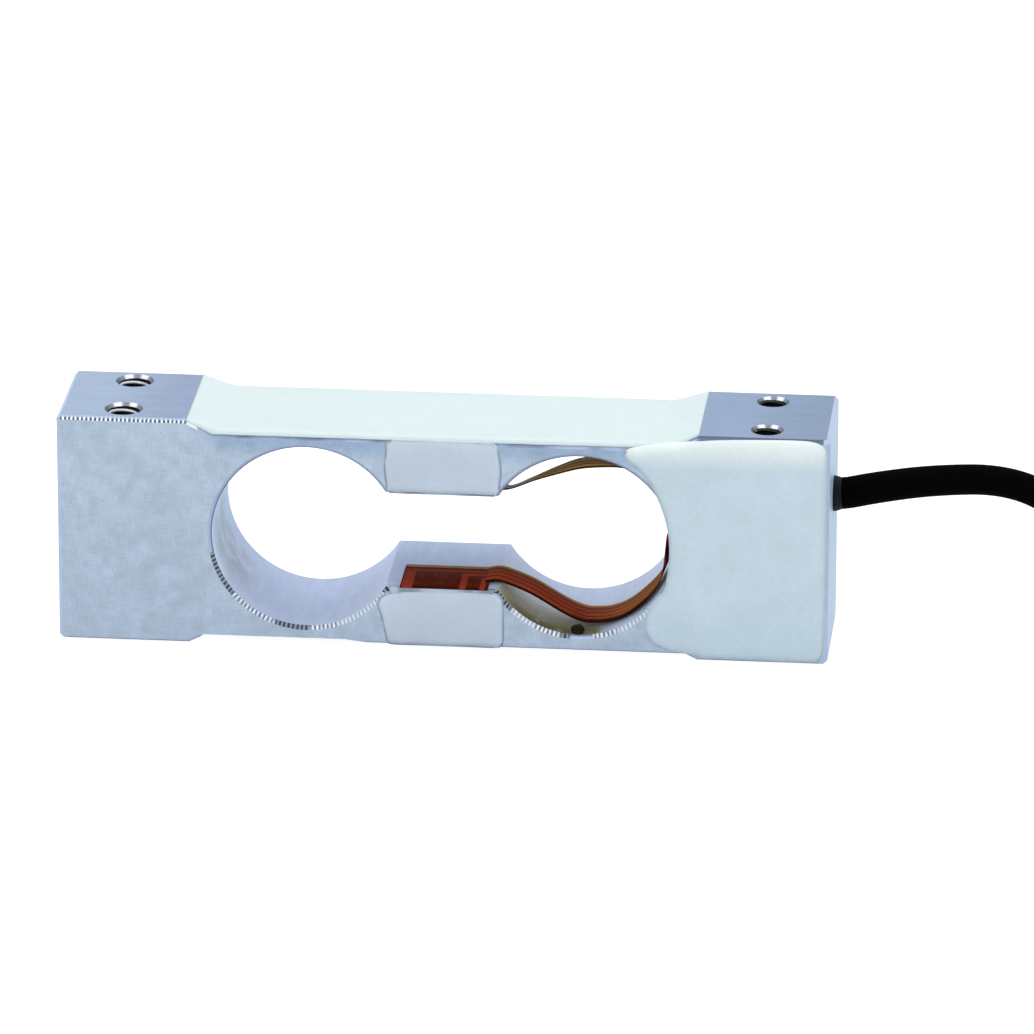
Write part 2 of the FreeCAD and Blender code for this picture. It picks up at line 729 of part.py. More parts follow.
def make_jacket():
    """The cable's jacket: straight runs and tangent arcs, each as large as its two runs allow."""
    lying = size("cable_radius")
    rise = size("cable_height") - lying
    points = [Vector(jacket_start(), 0, size("cable_height"))]
    points += [Vector(size("beam_length") / 2 + x, y, lying + share * rise) for x, y, share in ROUTE]
    pieces = []
    length = 0
    here = points[0]
    for before, corner, after in zip(points, points[1:], points[2:]):
        along = (corner - before).normalize()
        away = (after - corner).normalize()
        reach = 0.45 * min((corner - before).Length, (after - corner).Length)
        turn = along.getAngle(away)
        radius = reach / math.tan(turn / 2)
        print("cable bend radius %.1f mm, turn %.0f degrees" % (radius, math.degrees(turn)))
        into = corner - along * reach
        axis = along.cross(away).normalize()
        centre = into + axis.cross(along) * radius
        pieces.append(disc(here, along).extrude(into - here))
        pieces.append(disc(into, along).revolve(centre, axis, math.degrees(turn)))
        length += (into - here).Length + radius * turn
        here = corner + away * reach
    pieces.append(disc(here, away).extrude(points[-1] - here))
    length += (points[-1] - here).Length
    tube = pieces[0].multiFuse(pieces[1:]).removeSplitter()
    print("cable tube %.1f mm long, volume over section times length %.4f" % (
        length, tube.Volume / (math.pi * size("cable_radius") ** 2 * length)))
    return solid_feature("cable_jacket", tube)


jacket = make_jacket()


def make_seal():
    """A silicone sleeve between the jacket and its hole, flush with the end face."""
    start = Vector(size("beam_length") / 2 - size("seal_length"), 0, size("cable_height"))
    axis = Vector(1, 0, 0)
    outer = Part.makeCylinder(size("cable_radius") + size("cable_hole_gap"), size("seal_length"),
                              start, axis)
    inner = Part.makeCylinder(size("cable_radius"), size("seal_length"), start, axis)
    return solid_feature("cable_seal", outer.cut(inner))


seal = make_seal()


def make_coil():
    """The outer shape of two put-away turns, one on the other, lying on the surface."""
    height = 4 * size("cable_radius")
    band = size("cable_radius") + size("coil_turn_gap") / 2
    centre = Vector(size("beam_length") / 2 + size("coil_reach"), size("coil_y"), 0)
    outer = Part.makeCylinder(size("coil_radius") + band, height, centre)
    inner = Part.makeCylinder(size("coil_radius") - band, height, centre)
    return solid_feature("cable_coil", outer.cut(inner).cut(jacket.Shape))


coil = make_coil()
FAR_NODES = []


def make_far_end():
    """The stripped far end: four cores with tinned tips, lying inside the coil."""
    inner = size("coil_radius") - size("cable_radius") - size("coil_turn_gap") / 2
    coil_centre_x = size("beam_length") / 2 + size("coil_reach")
    tips = []
    for i, colour in enumerate(CORE_COLOURS):
        radius = size("core_radius")
        y = size("coil_y") + (i - 1.5) * size("far_core_pitch")
        half_chord = math.sqrt(inner ** 2 - (abs(y - size("coil_y")) + radius) ** 2)
        start = Vector(coil_centre_x - half_chord, y, radius)
        core = Part.makeCylinder(radius, half_chord * 1.1, start, Vector(1, 0, 0))
        FAR_NODES.append(solid_feature("far_core_" + colour, core))
        tips.append(Part.makeCylinder(size("conductor_radius"), size("stripped_length"),
                                      start + Vector(half_chord * 1.1, 0, 0), Vector(1, 0, 0)))
    return solid_feature("tinned_tips", Part.makeCompound(tips))


tips = make_far_end()

# ---------------------------------------------------------------- check and write
doc.recompute()
NODES = [beam, *gauges, upper_film, lower_film, upper_traces, lower_traces, board, trim_resistors,
         *cores, solder, upper_pad, lower_pad, top_coat, bottom_coat, potting, jacket, seal, coil,
         *FAR_NODES, tips]
for feature in doc.Objects:
    if {"Invalid", "Error"} & set(feature.State):
        raise RuntimeError("%s is %s" % (feature.Name, feature.State))
for node in NODES:
    node.Label = node.Name
    if not node.Shape.isValid() or not node.Shape.Solids:
        raise RuntimeError(node.Name + " has no valid solid")
    node.Shape.exportStep("parts/%s.step" % node.Label)
    print("%-20s %d solids %10.2f mm3" % (node.Label, len(node.Shape.Solids), node.Shape.Volume))
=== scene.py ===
# %% [markdown]
# # Single point load cell
# A load cell is an aluminium spring. Two wide bores joined by a slot leave four thin webs, foil
# gauges on those webs change their resistance as the beam bends, and white silicone keeps them dry.
# The CAD gives the metal and the inner parts. This lesson dresses them, in the same frame:
# +X towards the cable, +Y towards the plain rear side, +Z up, and Z = 0 on the standing surface.

# %% Imports and the CAD frame
import math

import bmesh
import bpy
from mathutils import Matrix, Vector, noise


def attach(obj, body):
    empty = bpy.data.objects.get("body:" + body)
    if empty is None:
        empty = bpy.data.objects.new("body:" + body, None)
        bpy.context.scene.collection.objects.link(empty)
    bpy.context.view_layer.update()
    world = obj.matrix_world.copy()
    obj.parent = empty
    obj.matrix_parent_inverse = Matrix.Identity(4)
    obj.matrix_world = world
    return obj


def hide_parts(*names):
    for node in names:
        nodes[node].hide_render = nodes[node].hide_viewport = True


MM = 0.001
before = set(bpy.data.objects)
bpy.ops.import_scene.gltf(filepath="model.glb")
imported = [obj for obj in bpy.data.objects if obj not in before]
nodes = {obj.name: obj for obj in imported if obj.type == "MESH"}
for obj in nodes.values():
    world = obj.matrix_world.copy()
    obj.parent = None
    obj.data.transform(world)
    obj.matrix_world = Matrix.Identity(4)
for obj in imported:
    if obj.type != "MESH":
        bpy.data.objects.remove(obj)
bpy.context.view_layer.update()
print("CAD nodes:", len(nodes))

# %% [markdown]
# ## Camera
# A long lens far away keeps the beam's edges almost parallel, as product pictures do. The same
# framing could come from a short lens close by, but then the cable end would look much larger.
# Azimuth, elevation and roll turn the camera round a point that it aims at.

# %% Camera
AZIMUTH, ELEVATION, ROLL = math.radians(5.356), math.radians(20.027), math.radians(0.125)
AIM = Vector((10.92, -2.76, 19.70)) * MM
DISTANCE = 1.453
FOCAL_LENGTH, SENSOR_WIDTH = 325.3, 36

back = Vector((math.sin(AZIMUTH) * math.cos(ELEVATION), -math.cos(AZIMUTH) * math.cos(ELEVATION),
               math.sin(ELEVATION)))
right = Vector((math.cos(AZIMUTH), math.sin(AZIMUTH), 0))
turned = Matrix((right, back.cross(right), back)).transposed() @ Matrix.Rotation(ROLL, 3, "Z")
camera_data = bpy.data.cameras.new("camera")
camera_data.sensor_width = SENSOR_WIDTH
camera_data.lens = FOCAL_LENGTH
camera_data.clip_start = 0.1
camera_data.clip_end = 20
camera = bpy.data.objects.new("camera", camera_data)
camera.matrix_world = Matrix.Translation(AIM + back * DISTANCE) @ turned.to_4x4()
bpy.context.collection.objects.link(camera)
bpy.context.scene.camera = camera
bpy.context.scene.view_settings.view_transform = "Standard"
print("camera at", [round(c, 3) for c in camera.location])

# %% [markdown]
# ## The cable
# A round four-core cable leaves the end face. It rises a little, because it was packed bent, and
# then comes down and lies in nearly two turns, one on the other. It could be swept as a mesh, but
# a NURBS curve with a bevel stays smooth between a few control points and keeps its round section.

# %% Cable route
CABLE_RADIUS = 2.35
COIL_X, COIL_Y, COIL_RADIUS = 120.3, 15.15, 24.5
COIL_START = math.radians(-88)
ROUTE = [(56, 0, 24.6), (60.2, 0, 24.05), (66.5, 0, 25.6), (75.5, 0, 27.15), (86.5, 0.3, 27.6),
         (95, -1.2, 24.6), (104, -4.3, 16.6), (113.5, -7.9, 10.4), (121.3, -9.35, 7.05)]
TURN_POINTS = 16
COIL_TURNS = 1.87
STEP_START, STEP_LENGTH = 0.88, 0.12


def clamped(value):
    """The value, kept from 0 to 1."""
    return min(max(value, 0), 1)


def coil_point(turn):
    """A point on the coil after that many turns: the upper turn, a step down, the lower turn."""
    step = clamped((turn - STEP_START) / STEP_LENGTH)
    angle = COIL_START + turn * 2 * math.pi
    return (COIL_X + COIL_RADIUS * math.cos(angle), COIL_Y + COIL_RADIUS * math.sin(angle),
            CABLE_RADIUS * (3 - 2 * step))


coil_points = [coil_point(i / TURN_POINTS) for i in range(1, round(COIL_TURNS * TURN_POINTS) + 1)]
print("cable control points:", len(ROUTE) + len(coil_points))


# %% Cable
def curve_object(name, points, radii):
    """A round wire along one NURBS spline, with a radius for each control point."""
    curve = bpy.data.curves.new(name, "CURVE")
    curve.dimensions = "3D"
    curve.bevel_depth = 1.0
    curve.bevel_resolution = 8
    curve.use_fill_caps = True
    spline = curve.splines.new("NURBS")
    spline.points.add(len(points) - 1)
    for control, place, radius in zip(spline.points, points, radii):
        control.co = (place[0] * MM, place[1] * MM, place[2] * MM, 1)
        control.radius = radius * MM
    spline.order_u = 3
    spline.use_endpoint_u = True
    spline.resolution_u = 8
    made = bpy.data.objects.new(name, curve)
    bpy.context.collection.objects.link(made)
    return made


SWOLLEN_RADII = [2.48, 2.48, 2.46, 2.4]
cable_points = ROUTE + coil_points
cable_radii = SWOLLEN_RADII + [CABLE_RADIUS] * (len(cable_points) - len(SWOLLEN_RADII))
cable = curve_object("cable", cable_points, cable_radii)
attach(cable, "root")
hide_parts("cable_jacket", "cable_coil")

# %% [markdown]
# ## Mesh helpers
# Every new piece starts as a bmesh in millimetres: a created shape or a few vertices, pushed into
# form by operators. One helper scales it to metres, cleans it and hands it to the model, so that
# each piece sits at the origin with its place in its mesh, as the CAD nodes do.

# %% Mesh helpers
def finished_piece(bm, name, recalculate=True):
    """Scale a bmesh from millimetres, weld it, face it outwards, and let it ride on the root."""
    bmesh.ops.remove_doubles(bm, verts=bm.verts, dist=0.001)
    if recalculate:
        bmesh.ops.recalc_face_normals(bm, faces=bm.faces)
    bmesh.ops.scale(bm, vec=(MM, MM, MM), verts=bm.verts)
    for face in bm.faces:
        face.smooth = True
    mesh = bpy.data.meshes.new(name)
    bm.to_mesh(mesh)
    bm.free()
    made = bpy.data.objects.new(name, mesh)
    bpy.context.collection.objects.link(made)
    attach(made, "root")
    print(name, "faces:", len(mesh.polygons))
    return made


def through(points, steps, closed=False):
    """A Catmull-Rom curve through points of any dimension, as a denser list of points."""
    around = points[-1:] + points + points[:2] if closed else points[:1] + points + points[-1:]
    dense = []
    for a, b, c, d in zip(around, around[1:], around[2:], around[3:]):
        for step in range(steps):
            t = step / steps
            dense.append(tuple(0.5 * (2 * q + (r - p) * t + (2 * p - 5 * q + 4 * r - s) * t * t
                                      + (3 * q - p - 3 * r + s) * t ** 3)
                               for p, q, r, s in zip(a, b, c, d)))
    return dense if closed else dense + [tuple(points[-1])]


# %% [markdown]
# ## Material helpers
# All finishes are procedural. They are worked out from the object's own coordinates in
# millimetres, so a pattern stays on its piece from any side. The class below only shortens the
# node calls: plain values and sockets can be mixed freely.

# %% Colour
def rgb(red, green, blue):
    """A display colour, 0 to 255, as the linear values that shaders use."""
    linear = [c / 255 / 12.92 if c <= 10 else ((c / 255 + 0.055) / 1.055) ** 2.4
              for c in (red, green, blue)]
    return (*linear, 1)


# %% Finish
class Finish:
    """A node material, built with short calls."""

    def __init__(self, name):
        self.material = bpy.data.materials.new(name)
        self.material.use_nodes = True
        self.tree = self.material.node_tree
        self.shader = self.tree.nodes["Principled BSDF"]
        coords = self.node("ShaderNodeTexCoord").outputs["Object"]
        self.place = self.scaled(coords, (1000, 1000, 1000))
        self.x, self.y, self.z = self.parts(self.place)
        normal = self.node("ShaderNodeNewGeometry").outputs["Normal"]
        self.nx, self.ny, self.nz = self.parts(normal)

    def node(self, kind, **settings):
        made = self.tree.nodes.new(kind)
        for key, value in settings.items():
            setattr(made, key, value)
        return made

    def put(self, socket, value):
        if isinstance(value, bpy.types.NodeSocket):
            self.tree.links.new(value, socket)
        else:
            socket.default_value = value

    def parts(self, vector):
        split = self.node("ShaderNodeSeparateXYZ")
        self.put(split.inputs[0], vector)
        return split.outputs

    def scaled(self, vector, scale):
        mapping = self.node("ShaderNodeMapping")
        self.put(mapping.inputs["Vector"], vector)
        self.put(mapping.inputs["Scale"], scale)
        return mapping.outputs[0]

    def math(self, operation, *values):
        made = self.node("ShaderNodeMath", operation=operation)
        for socket, value in zip(made.inputs, values):
            self.put(socket, value)
        return made.outputs[0]

    def times(self, *values):
        product = values[0]
        for value in values[1:]:
            product = self.math("MULTIPLY", product, value)
        return product

    def less(self, value, other):
        return self.math("SUBTRACT", value, other)

    def line(self, value, slope, start):
        """The value times a slope, plus a start."""
        return self.math("MULTIPLY_ADD", value, slope, start)

    def distance(self, first, second):
        return self.math("SQRT", self.math("ADD", self.times(first, first),
                                           self.times(second, second)))

    def angle(self, up, over):
        return self.math("DEGREES", self.math("ARCTAN2", up, over))

    def most(self, *values):
        largest = values[0]
        for value in values[1:]:
            largest = self.math("MAXIMUM", largest, value)
        return largest

    def size_of(self, value):
        return self.math("ABSOLUTE", value)

    def noise(self, scale, stretch=(1, 1, 1), detail=3, roughness=0.5):
        made = self.node("ShaderNodeTexNoise")
        self.put(made.inputs["Vector"], self.scaled(self.place, stretch))
        self.put(made.inputs["Scale"], scale)
        self.put(made.inputs["Detail"], detail)
        self.put(made.inputs["Roughness"], roughness)
        return made.outputs[0]

    def step(self, value, low, high):
        """0 below low, 1 above high, smooth between. low may be the larger."""
        made = self.node("ShaderNodeMapRange", interpolation_type="SMOOTHSTEP")
        self.put(made.inputs["Value"], value)
        self.put(made.inputs["From Min"], low)
        self.put(made.inputs["From Max"], high)
        return made.outputs[0]

    def band(self, value, low, high, soft=0.1):
        """1 between low and high."""
        return self.times(self.step(value, low - soft, low + soft),
                          self.step(value, high + soft, high - soft))

    def bands(self, value, ranges, soft=0.1):
        """1 inside any of the ranges."""
        return self.most(*[self.band(value, low, high, soft) for low, high in ranges])

    def mix(self, factor, first, second, blend="MIX"):
        made = self.node("ShaderNodeMix", data_type="RGBA", blend_type=blend)
        self.put(made.inputs[0], factor)
        self.put(made.inputs[6], first)
        self.put(made.inputs[7], second)
        return made.outputs[2]

    def shade(self, color, value, amount):
        """The colour made lighter or darker by a 0 to 1 value around its middle."""
        swing = self.times(self.less(value, 0.5), amount, 2.0)
        grey = self.math("ADD", swing, 1.0)
        made = self.node("ShaderNodeCombineColor")
        for socket in made.inputs:
            self.put(socket, grey)
        return self.mix(1.0, color, made.outputs[0], "MULTIPLY")

    def bump(self, height, distance, strength):
        made = self.node("ShaderNodeBump")
        self.put(made.inputs["Height"], height)
        self.put(made.inputs["Distance"], distance * MM)
        self.put(made.inputs["Strength"], strength)
        self.put(self.shader.inputs["Normal"], made.outputs[0])

    def set(self, **values):
        """Values or sockets for the shader, with _ for a space in a name. Returns the material."""
        for key, value in values.items():
            self.put(self.shader.inputs[key.replace("_", " ")], value)
        return self.material


def wear(obj, material):
    """Puts one material on a piece or a CAD node."""
    if obj.material_slots:
        for slot in obj.material_slots:
            slot.material = material
    else:
        obj.data.materials.append(material)


def plastic(name, color, roughness=0.45, uneven=0.06, bump=0.02, gloss=0.5):
    """A moulded or extruded plastic, with an uneven tint and a fine skin."""
    f = Finish(name)
    fine = f.noise(2.0, detail=4)
    f.bump(fine, bump, 0.4)
    return f.set(Base_Color=f.shade(color, f.noise(0.3), uneven),
                 Roughness=f.line(fine, 0.2, roughness - 0.1), Specular_IOR_Level=gloss)


cable_black = plastic("cable_black", rgb(3, 2, 3), 0.8, 0.1, 0.03, gloss=0.02)
wear(cable, cable_black)
print("cable finish:", cable_black.name)

# %% [markdown]
# ## The aluminium beam
# The beam was milled from one bar. Its front and rear show a fine cross-hatched grain, its block
# tops the cutter's lengthwise lines, and its bores a smooth turned skin. Six image maps could carry
# all that, but one node material that tells the faces apart by their normals needs no unwrapping
# and follows the CAD body exactly.

# %% Beam faces
BORE_OFFSET, BORE_HEIGHT, BORE_RADIUS = 21.25, 18.1, 14.7
HALF_LENGTH, HALF_WIDTH, BLOCK_TOP = 60.0, 11.0, 36.8
HOLE_X, HOLE_Y = 50.0, 6.6
HALF_RECESS = 39.7
PIT_GREY = rgb(96, 112, 132)


def face_colors(f, face):
    """The colour of each kind of face, and the grain that goes with it, with painted light and
    shade: flanks lighter upwards, block tops lighter towards one end, surfaces in the slot darker.
    """
    top = f.times(f.step(f.nz, 0.85, 0.95), f.step(f.z, BLOCK_TOP - 0.3, BLOCK_TOP - 0.1))
    end = f.step(f.size_of(f.nx), 0.9, 0.97)
    weave = f.times(f.math("ADD", f.noise(1.0, (9.0, 1.0, 0.45), detail=5),
                           f.noise(1.0, (0.45, 1.0, 9.0), detail=5)), 0.5)
    milled = f.noise(1.0, (0.1, 5.0, 1.0), detail=5)
    turned_grain = f.noise(1.0, (0.8, 0.15, 0.8), detail=4)
    # Painted light: the flanks are a little lighter towards the top.
    flank = f.mix(f.step(f.z, 4, 34), rgb(172, 188, 207), rgb(177, 193, 211))
    # Painted light and shade on the block tops: the left one lighter towards its outer end, the
    # right one towards its inner end.
    left_block = f.mix(f.step(f.x, -56, -40), rgb(156, 175, 203), rgb(138, 155, 187))
    right_block = f.mix(f.step(f.x, 42, 60), rgb(135, 157, 188), rgb(122, 144, 171))
    block = f.mix(f.step(f.x, -10, 10), left_block, right_block)
    thin_web = f.times(f.step(f.z, 30.5, 33.5), f.step(f.size_of(f.x), 38, 33))
    flank = f.mix(thin_web, flank, rgb(153, 175, 200))
    # Painted shade: surfaces in and around the slot are darker.
    in_slot = f.step(f.size_of(f.x), 9.5, 7.5)
    color = f.mix(face, f.mix(in_slot, rgb(189, 204, 232), rgb(178, 195, 225)), flank)
    color = f.mix(end, color, rgb(176, 205, 229))
    color = f.mix(top, color, block)
    grain = f.mix(face, f.mix(top, turned_grain, milled), weave)
    color = f.shade(color, grain, f.line(face, 0.3, f.line(top, 0.14, 0.16)))
    color = f.shade(color, f.noise(0.12), 0.07)
    color = f.shade(color, f.noise(0.5, detail=5), f.line(face, 0.16, 0.06))
    pits = f.step(f.noise(1.6, detail=1), 0.745, 0.77)
    return f.mix(f.times(pits, 0.3), color, PIT_GREY), grain


print("bore radius, mm:", BORE_RADIUS)

# %% [markdown]
# The cutter chattered on the edges it broke, which left short ticks. Some catch the light and some
# lose it, in stretches round each bore. Modelling them would take thousands of facets under a
# tenth of a millimetre deep, so a wave along each edge paints them, as painted highlights and
# painted shade, with its run measured as an angle on the rims and along X on the straight edges.

# %% Edge lines
COAT_SHADOW, BLOCK_EDGE = rgb(104, 122, 152), rgb(72, 88, 116)


def edge_lines(f, color, slant, side):
    """Broken edges as thin darker lines: all of them, a painted shadow under the coat, and the
    right block's.
    """
    depth = f.size_of(f.y)
    color = f.mix(f.times(slant, 0.3), color, rgb(150, 168, 196))
    thin = f.times(slant, f.step(depth, HALF_WIDTH - 0.32, HALF_WIDTH - 0.48),
                   f.step(side, HALF_LENGTH - 1.0, HALF_LENGTH - 1.5))
    color = f.mix(f.times(thin, 0.85), color, rgb(92, 106, 134))
    # A painted shadow under the coat's front lip, uneven along X.
    under_coat = f.times(slant, f.step(f.z, 33.9, 34.05), f.step(side, 36.5, 35.5))
    uneven_shadow = f.step(f.noise(0.12, (1, 0, 0), detail=2), 0.42, 0.6)
    color = f.mix(f.times(under_coat, f.line(uneven_shadow, 0.5, 0.3)), color, COAT_SHADOW)
    block_edge = f.times(slant, f.step(f.x, 39, 40), f.step(f.z, 35.9, 36.1),
                         f.step(f.x, HALF_LENGTH - 0.8, HALF_LENGTH - 1.2))
    return f.mix(f.times(block_edge, 0.9), color, BLOCK_EDGE)


# %% Edge ticks
TICK_PITCH = 0.67
# Where ticks run on a bore's rim, in degrees up from +X, and how soft the ends of a run are.
LEFT_RIM = {"dark": [(-168, -139), (-109, -88)], "bright": [(-139, -110), (-87, -70)],
            "faint": [(-70, -34)]}
RIGHT_RIM = {"dark": [(-150, -132), (-101, -95)], "bright": [(-119, -101), (-81, -66)],
             "faint": [(-134, -117), (-66, -38)]}
RUN_END = {"dark": 1.5, "bright": 1.5, "faint": 2}


def edge_ticks(f, color, slant, turn, reach, side):
    """Chatter ticks in dark, bright and faint stretches of the rims and the straight edges, painted
    as highlights and shade.
    """
    left = f.step(f.x, 1, -1)
    rim = f.times(slant, f.band(reach, BORE_RADIUS - 0.3, BORE_RADIUS + 0.8, 0.1))
    top_left = f.times(slant, f.step(f.x, -39.5, -39.9), f.step(f.z, 35.9, 36.1))
    lip = f.times(slant, f.step(side, 10.6, 10.2), f.band(f.z, 9.4, 10.5, 0.1))
    run = f.math("ADD", f.times(rim, turn, math.radians(BORE_RADIUS)),
                 f.times(f.less(1.0, rim), f.x))
    uneven = f.times(f.noise(0.5, (1, 0, 1)), 3.0)
    wave = f.math("SINE", f.math("ADD", f.times(run, 2 * math.pi / TICK_PITCH), uneven))
    ragged = f.line(f.noise(2.2, (1, 0, 1), detail=1), 2.0, -0.9)
    tick = f.step(wave, f.less(ragged, 0.25), f.math("ADD", ragged, 0.25))
    dim = f.step(f.noise(1.4, (1, 0, 1), detail=1), 0.35, 0.6)
    white = f.mix(dim, rgb(214, 224, 236), rgb(255, 255, 255))
    # Each stretch paints shade between the ticks and highlights on them.
    looks = {"dark": (rgb(44, 54, 66), rgb(134, 150, 168)), "bright": (rgb(126, 142, 164), white),
             "faint": (rgb(176, 190, 210), rgb(232, 239, 248))}
    for kind, (between, lit) in looks.items():
        on_left = f.bands(turn, LEFT_RIM[kind], RUN_END[kind])
        on_right = f.bands(turn, RIGHT_RIM[kind], RUN_END[kind])
        here = f.times(rim, f.mix(left, on_right, on_left))
        color = f.mix(here, color, f.mix(tick, between, lit))
    # Painted highlights and painted shade for the ticks on the left block's top edge and on the
    # slot lip.
    low_part = f.step(f.z, 36.62, 36.45)
    shelf = f.mix(low_part, rgb(160, 176, 204), rgb(58, 72, 92))
    flash = f.mix(low_part, rgb(186, 200, 222), white)
    ticks = f.mix(tick, f.mix(lip, shelf, rgb(28, 32, 44)), f.mix(lip, flash, rgb(150, 166, 188)))
    color = f.mix(f.most(top_left, lip), color, ticks)
    # A painted glint on the left slope's chamfer.
    glint = f.times(slant, f.band(f.x, -39.6, -38.0, 0.25), f.step(f.z, 30, 31))
    return f.mix(glint, color, rgb(252, 253, 255))


print("ticks round a bore:", round(2 * math.pi * BORE_RADIUS / TICK_PITCH))

# %% [markdown]
# Holes and stains finish the metal. A countersink is a narrow cone, so the studio lights show in it
# as two short flashes at the rear; these are painted reflections, and the hole walls below are
# painted dark as shade. The gauge adhesive has left an oily olive film low in the right bore,
# thickest where the wiring touches the wall.

# %% Stains and holes
SINK_RADIUS, SINK_FLOOR = 3.3, 36.4
# Painted reflections in the countersinks: grey at the rear, dark at the sides, light at the front.
SINK_REAR, SINK_SIDE, SINK_FRONT = rgb(128, 138, 154), rgb(78, 86, 100), rgb(196, 206, 222)
OIL_PALE, OIL_OLIVE, OIL_DARK = rgb(196, 207, 202), rgb(150, 148, 92), rgb(96, 88, 42)


def bore_stains(f, color, turn, reach):
    """The oily film in the right bore, painted shade on the left bore's far wall, and a painted
    lighter strip at its front.
    """
    wall = f.times(f.step(reach, BORE_RADIUS + 0.6, BORE_RADIUS + 0.3),
                   f.step(f.size_of(f.ny), 0.4, 0.3))
    on_right = f.times(wall, f.step(f.x, 0, 2))
    on_left = f.times(wall, f.step(f.x, 0, -2))
    streaks = f.noise(0.35, detail=5)
    under_tail = f.times(on_right, f.band(turn, -150, -78, 6), f.step(f.y, 4.5, 2.0))
    color = f.mix(f.times(under_tail, 0.7), color, OIL_PALE)
    film = f.times(under_tail, f.step(f.y, -2.5, -9.0), f.step(streaks, 0.2, 0.5))
    color = f.mix(f.times(film, 0.9), color, OIL_OLIVE)
    bottom = f.times(on_right, f.band(turn, -136, -74, 8), f.step(f.y, -6.0, -10.2),
                     f.step(streaks, 0.25, 0.5))
    color = f.mix(bottom, color, OIL_DARK)
    # Painted shade on the left bore's far wall.
    patch = f.times(on_left, f.band(turn, -186, -136, 10), f.band(f.y, -6.5, 6.0, 2.5))
    color = f.mix(f.times(patch, f.step(streaks, 0.3, 0.65), 0.7), color, rgb(146, 162, 168))
    # A painted lighter strip near the front of the left bore's wall.
    rim_glow = f.times(on_left, f.band(turn, -186, -150, 6), f.step(f.y, -7.5, -9.5))
    return f.mix(f.times(rim_glow, 0.7), color, rgb(206, 222, 242))


def from_hole(f):
    """How far a place is from the axis of its hole: along X, and in all."""
    ahead = f.less(f.size_of(f.x), HOLE_X)
    return ahead, f.distance(ahead, f.less(f.size_of(f.y), HOLE_Y))


def hole_finish(f, color):
    """Countersinks with painted reflections and painted flashes at the rear, over walls painted
    dark as shade.
    """
    ahead, out = from_hole(f)
    hole = f.times(f.step(out, SINK_RADIUS, SINK_RADIUS - 0.1), f.step(f.size_of(f.nz), 0.93, 0.88))
    rearward = f.less(f.y, f.times(f.math("SIGN", f.y), HOLE_Y))
    about = f.angle(f.size_of(ahead), rearward)
    sink = f.mix(f.step(about, 50, 85), SINK_REAR, SINK_SIDE)
    sink = f.mix(f.step(about, 120, 150), sink, SINK_FRONT)
    # Two painted flashes of reflected light at the rear.
    sink = f.mix(f.band(about, 13, 41, 7), sink, rgb(255, 255, 255))
    # The hole wall below the countersink is painted near black as shade.
    wall = f.step(f.z, SINK_FLOOR, SINK_FLOOR - 0.15)
    return f.mix(hole, color, f.mix(wall, sink, rgb(14, 15, 18)))


# %% Aluminium
def aluminium():
    """All finishes of the beam, told apart by normals and by the place round a bore."""
    f = Finish("milled_aluminium")
    color, grain = face_colors(f, f.step(f.size_of(f.ny), 0.85, 0.95))
    side = f.size_of(f.x)
    over = f.times(f.less(side, BORE_OFFSET), f.math("SIGN", f.x))
    up = f.less(f.z, BORE_HEIGHT)
    turn = f.angle(up, over)
    turn = f.less(turn, f.times(f.step(turn, 150, 151), 360))
    reach = f.distance(over, up)
    color = bore_stains(f, color, turn, reach)
    slant = f.times(f.band(f.size_of(f.ny), 0.6, 0.82, 0.03),
                    f.step(f.size_of(f.y), HALF_WIDTH - 0.8, HALF_WIDTH - 0.6))
    color = edge_lines(f, color, slant, side)
    color = edge_ticks(f, color, slant, turn, reach, side)
    color = hole_finish(f, color)
    f.bump(grain, 0.02, 0.4)
    return f.set(Base_Color=color, Roughness=f.line(grain, 0.15, 0.38), Metallic=0.25)


wear(nodes["beam_body"], aluminium())
print("beam finish nodes:", len(bpy.data.materials["milled_aluminium"].node_tree.nodes))

# %% [markdown]
# ## Threads
# The tapped holes are M6 in the left block and M5 in the right one. The CAD keeps them plain, at
# the thread's inner diameter, as a fitted screw needs. A screw modifier could wind a ridge, but
# spinning a small profile with a rise at every step gives the same helix with its ends under
# control, and only the first turns are ever seen.

# %% Threads
THREAD_LOW, THREAD_HIGH = 1.4, 35.9
STEPS_PER_TURN = 32
# Side, X, and the radius of the wall, the radius of the crest and the pitch of its threads.
TAPPED = [("left", -HOLE_X, 2.5, 2.16, 1.0), ("right", HOLE_X, 2.1, 1.83, 0.8)]


def thread_ridge(name, x, y, wall, crest, pitch):
    """A four-sided profile, spun round and up inside a hole."""
    turns = math.floor((THREAD_HIGH - THREAD_LOW) / pitch) + 0.5
    bm = bmesh.new()
    section = [(wall + 0.05, -0.44), (crest, -0.06), (crest, 0.06), (wall + 0.05, 0.44)]
    start = bm.faces.new([bm.verts.new((x + radius, y, THREAD_LOW + share * pitch))
                          for radius, share in section])
    bmesh.ops.spin(bm, geom=bm.verts[:] + bm.edges[:] + [start], cent=(x, y, 0), axis=(0, 0, 1),
                   dvec=(0, 0, pitch / STEPS_PER_TURN), angle=turns * 2 * math.pi,
                   steps=int(turns * STEPS_PER_TURN), use_merge=False, use_duplicate=False)
    return finished_piece(bm, name)


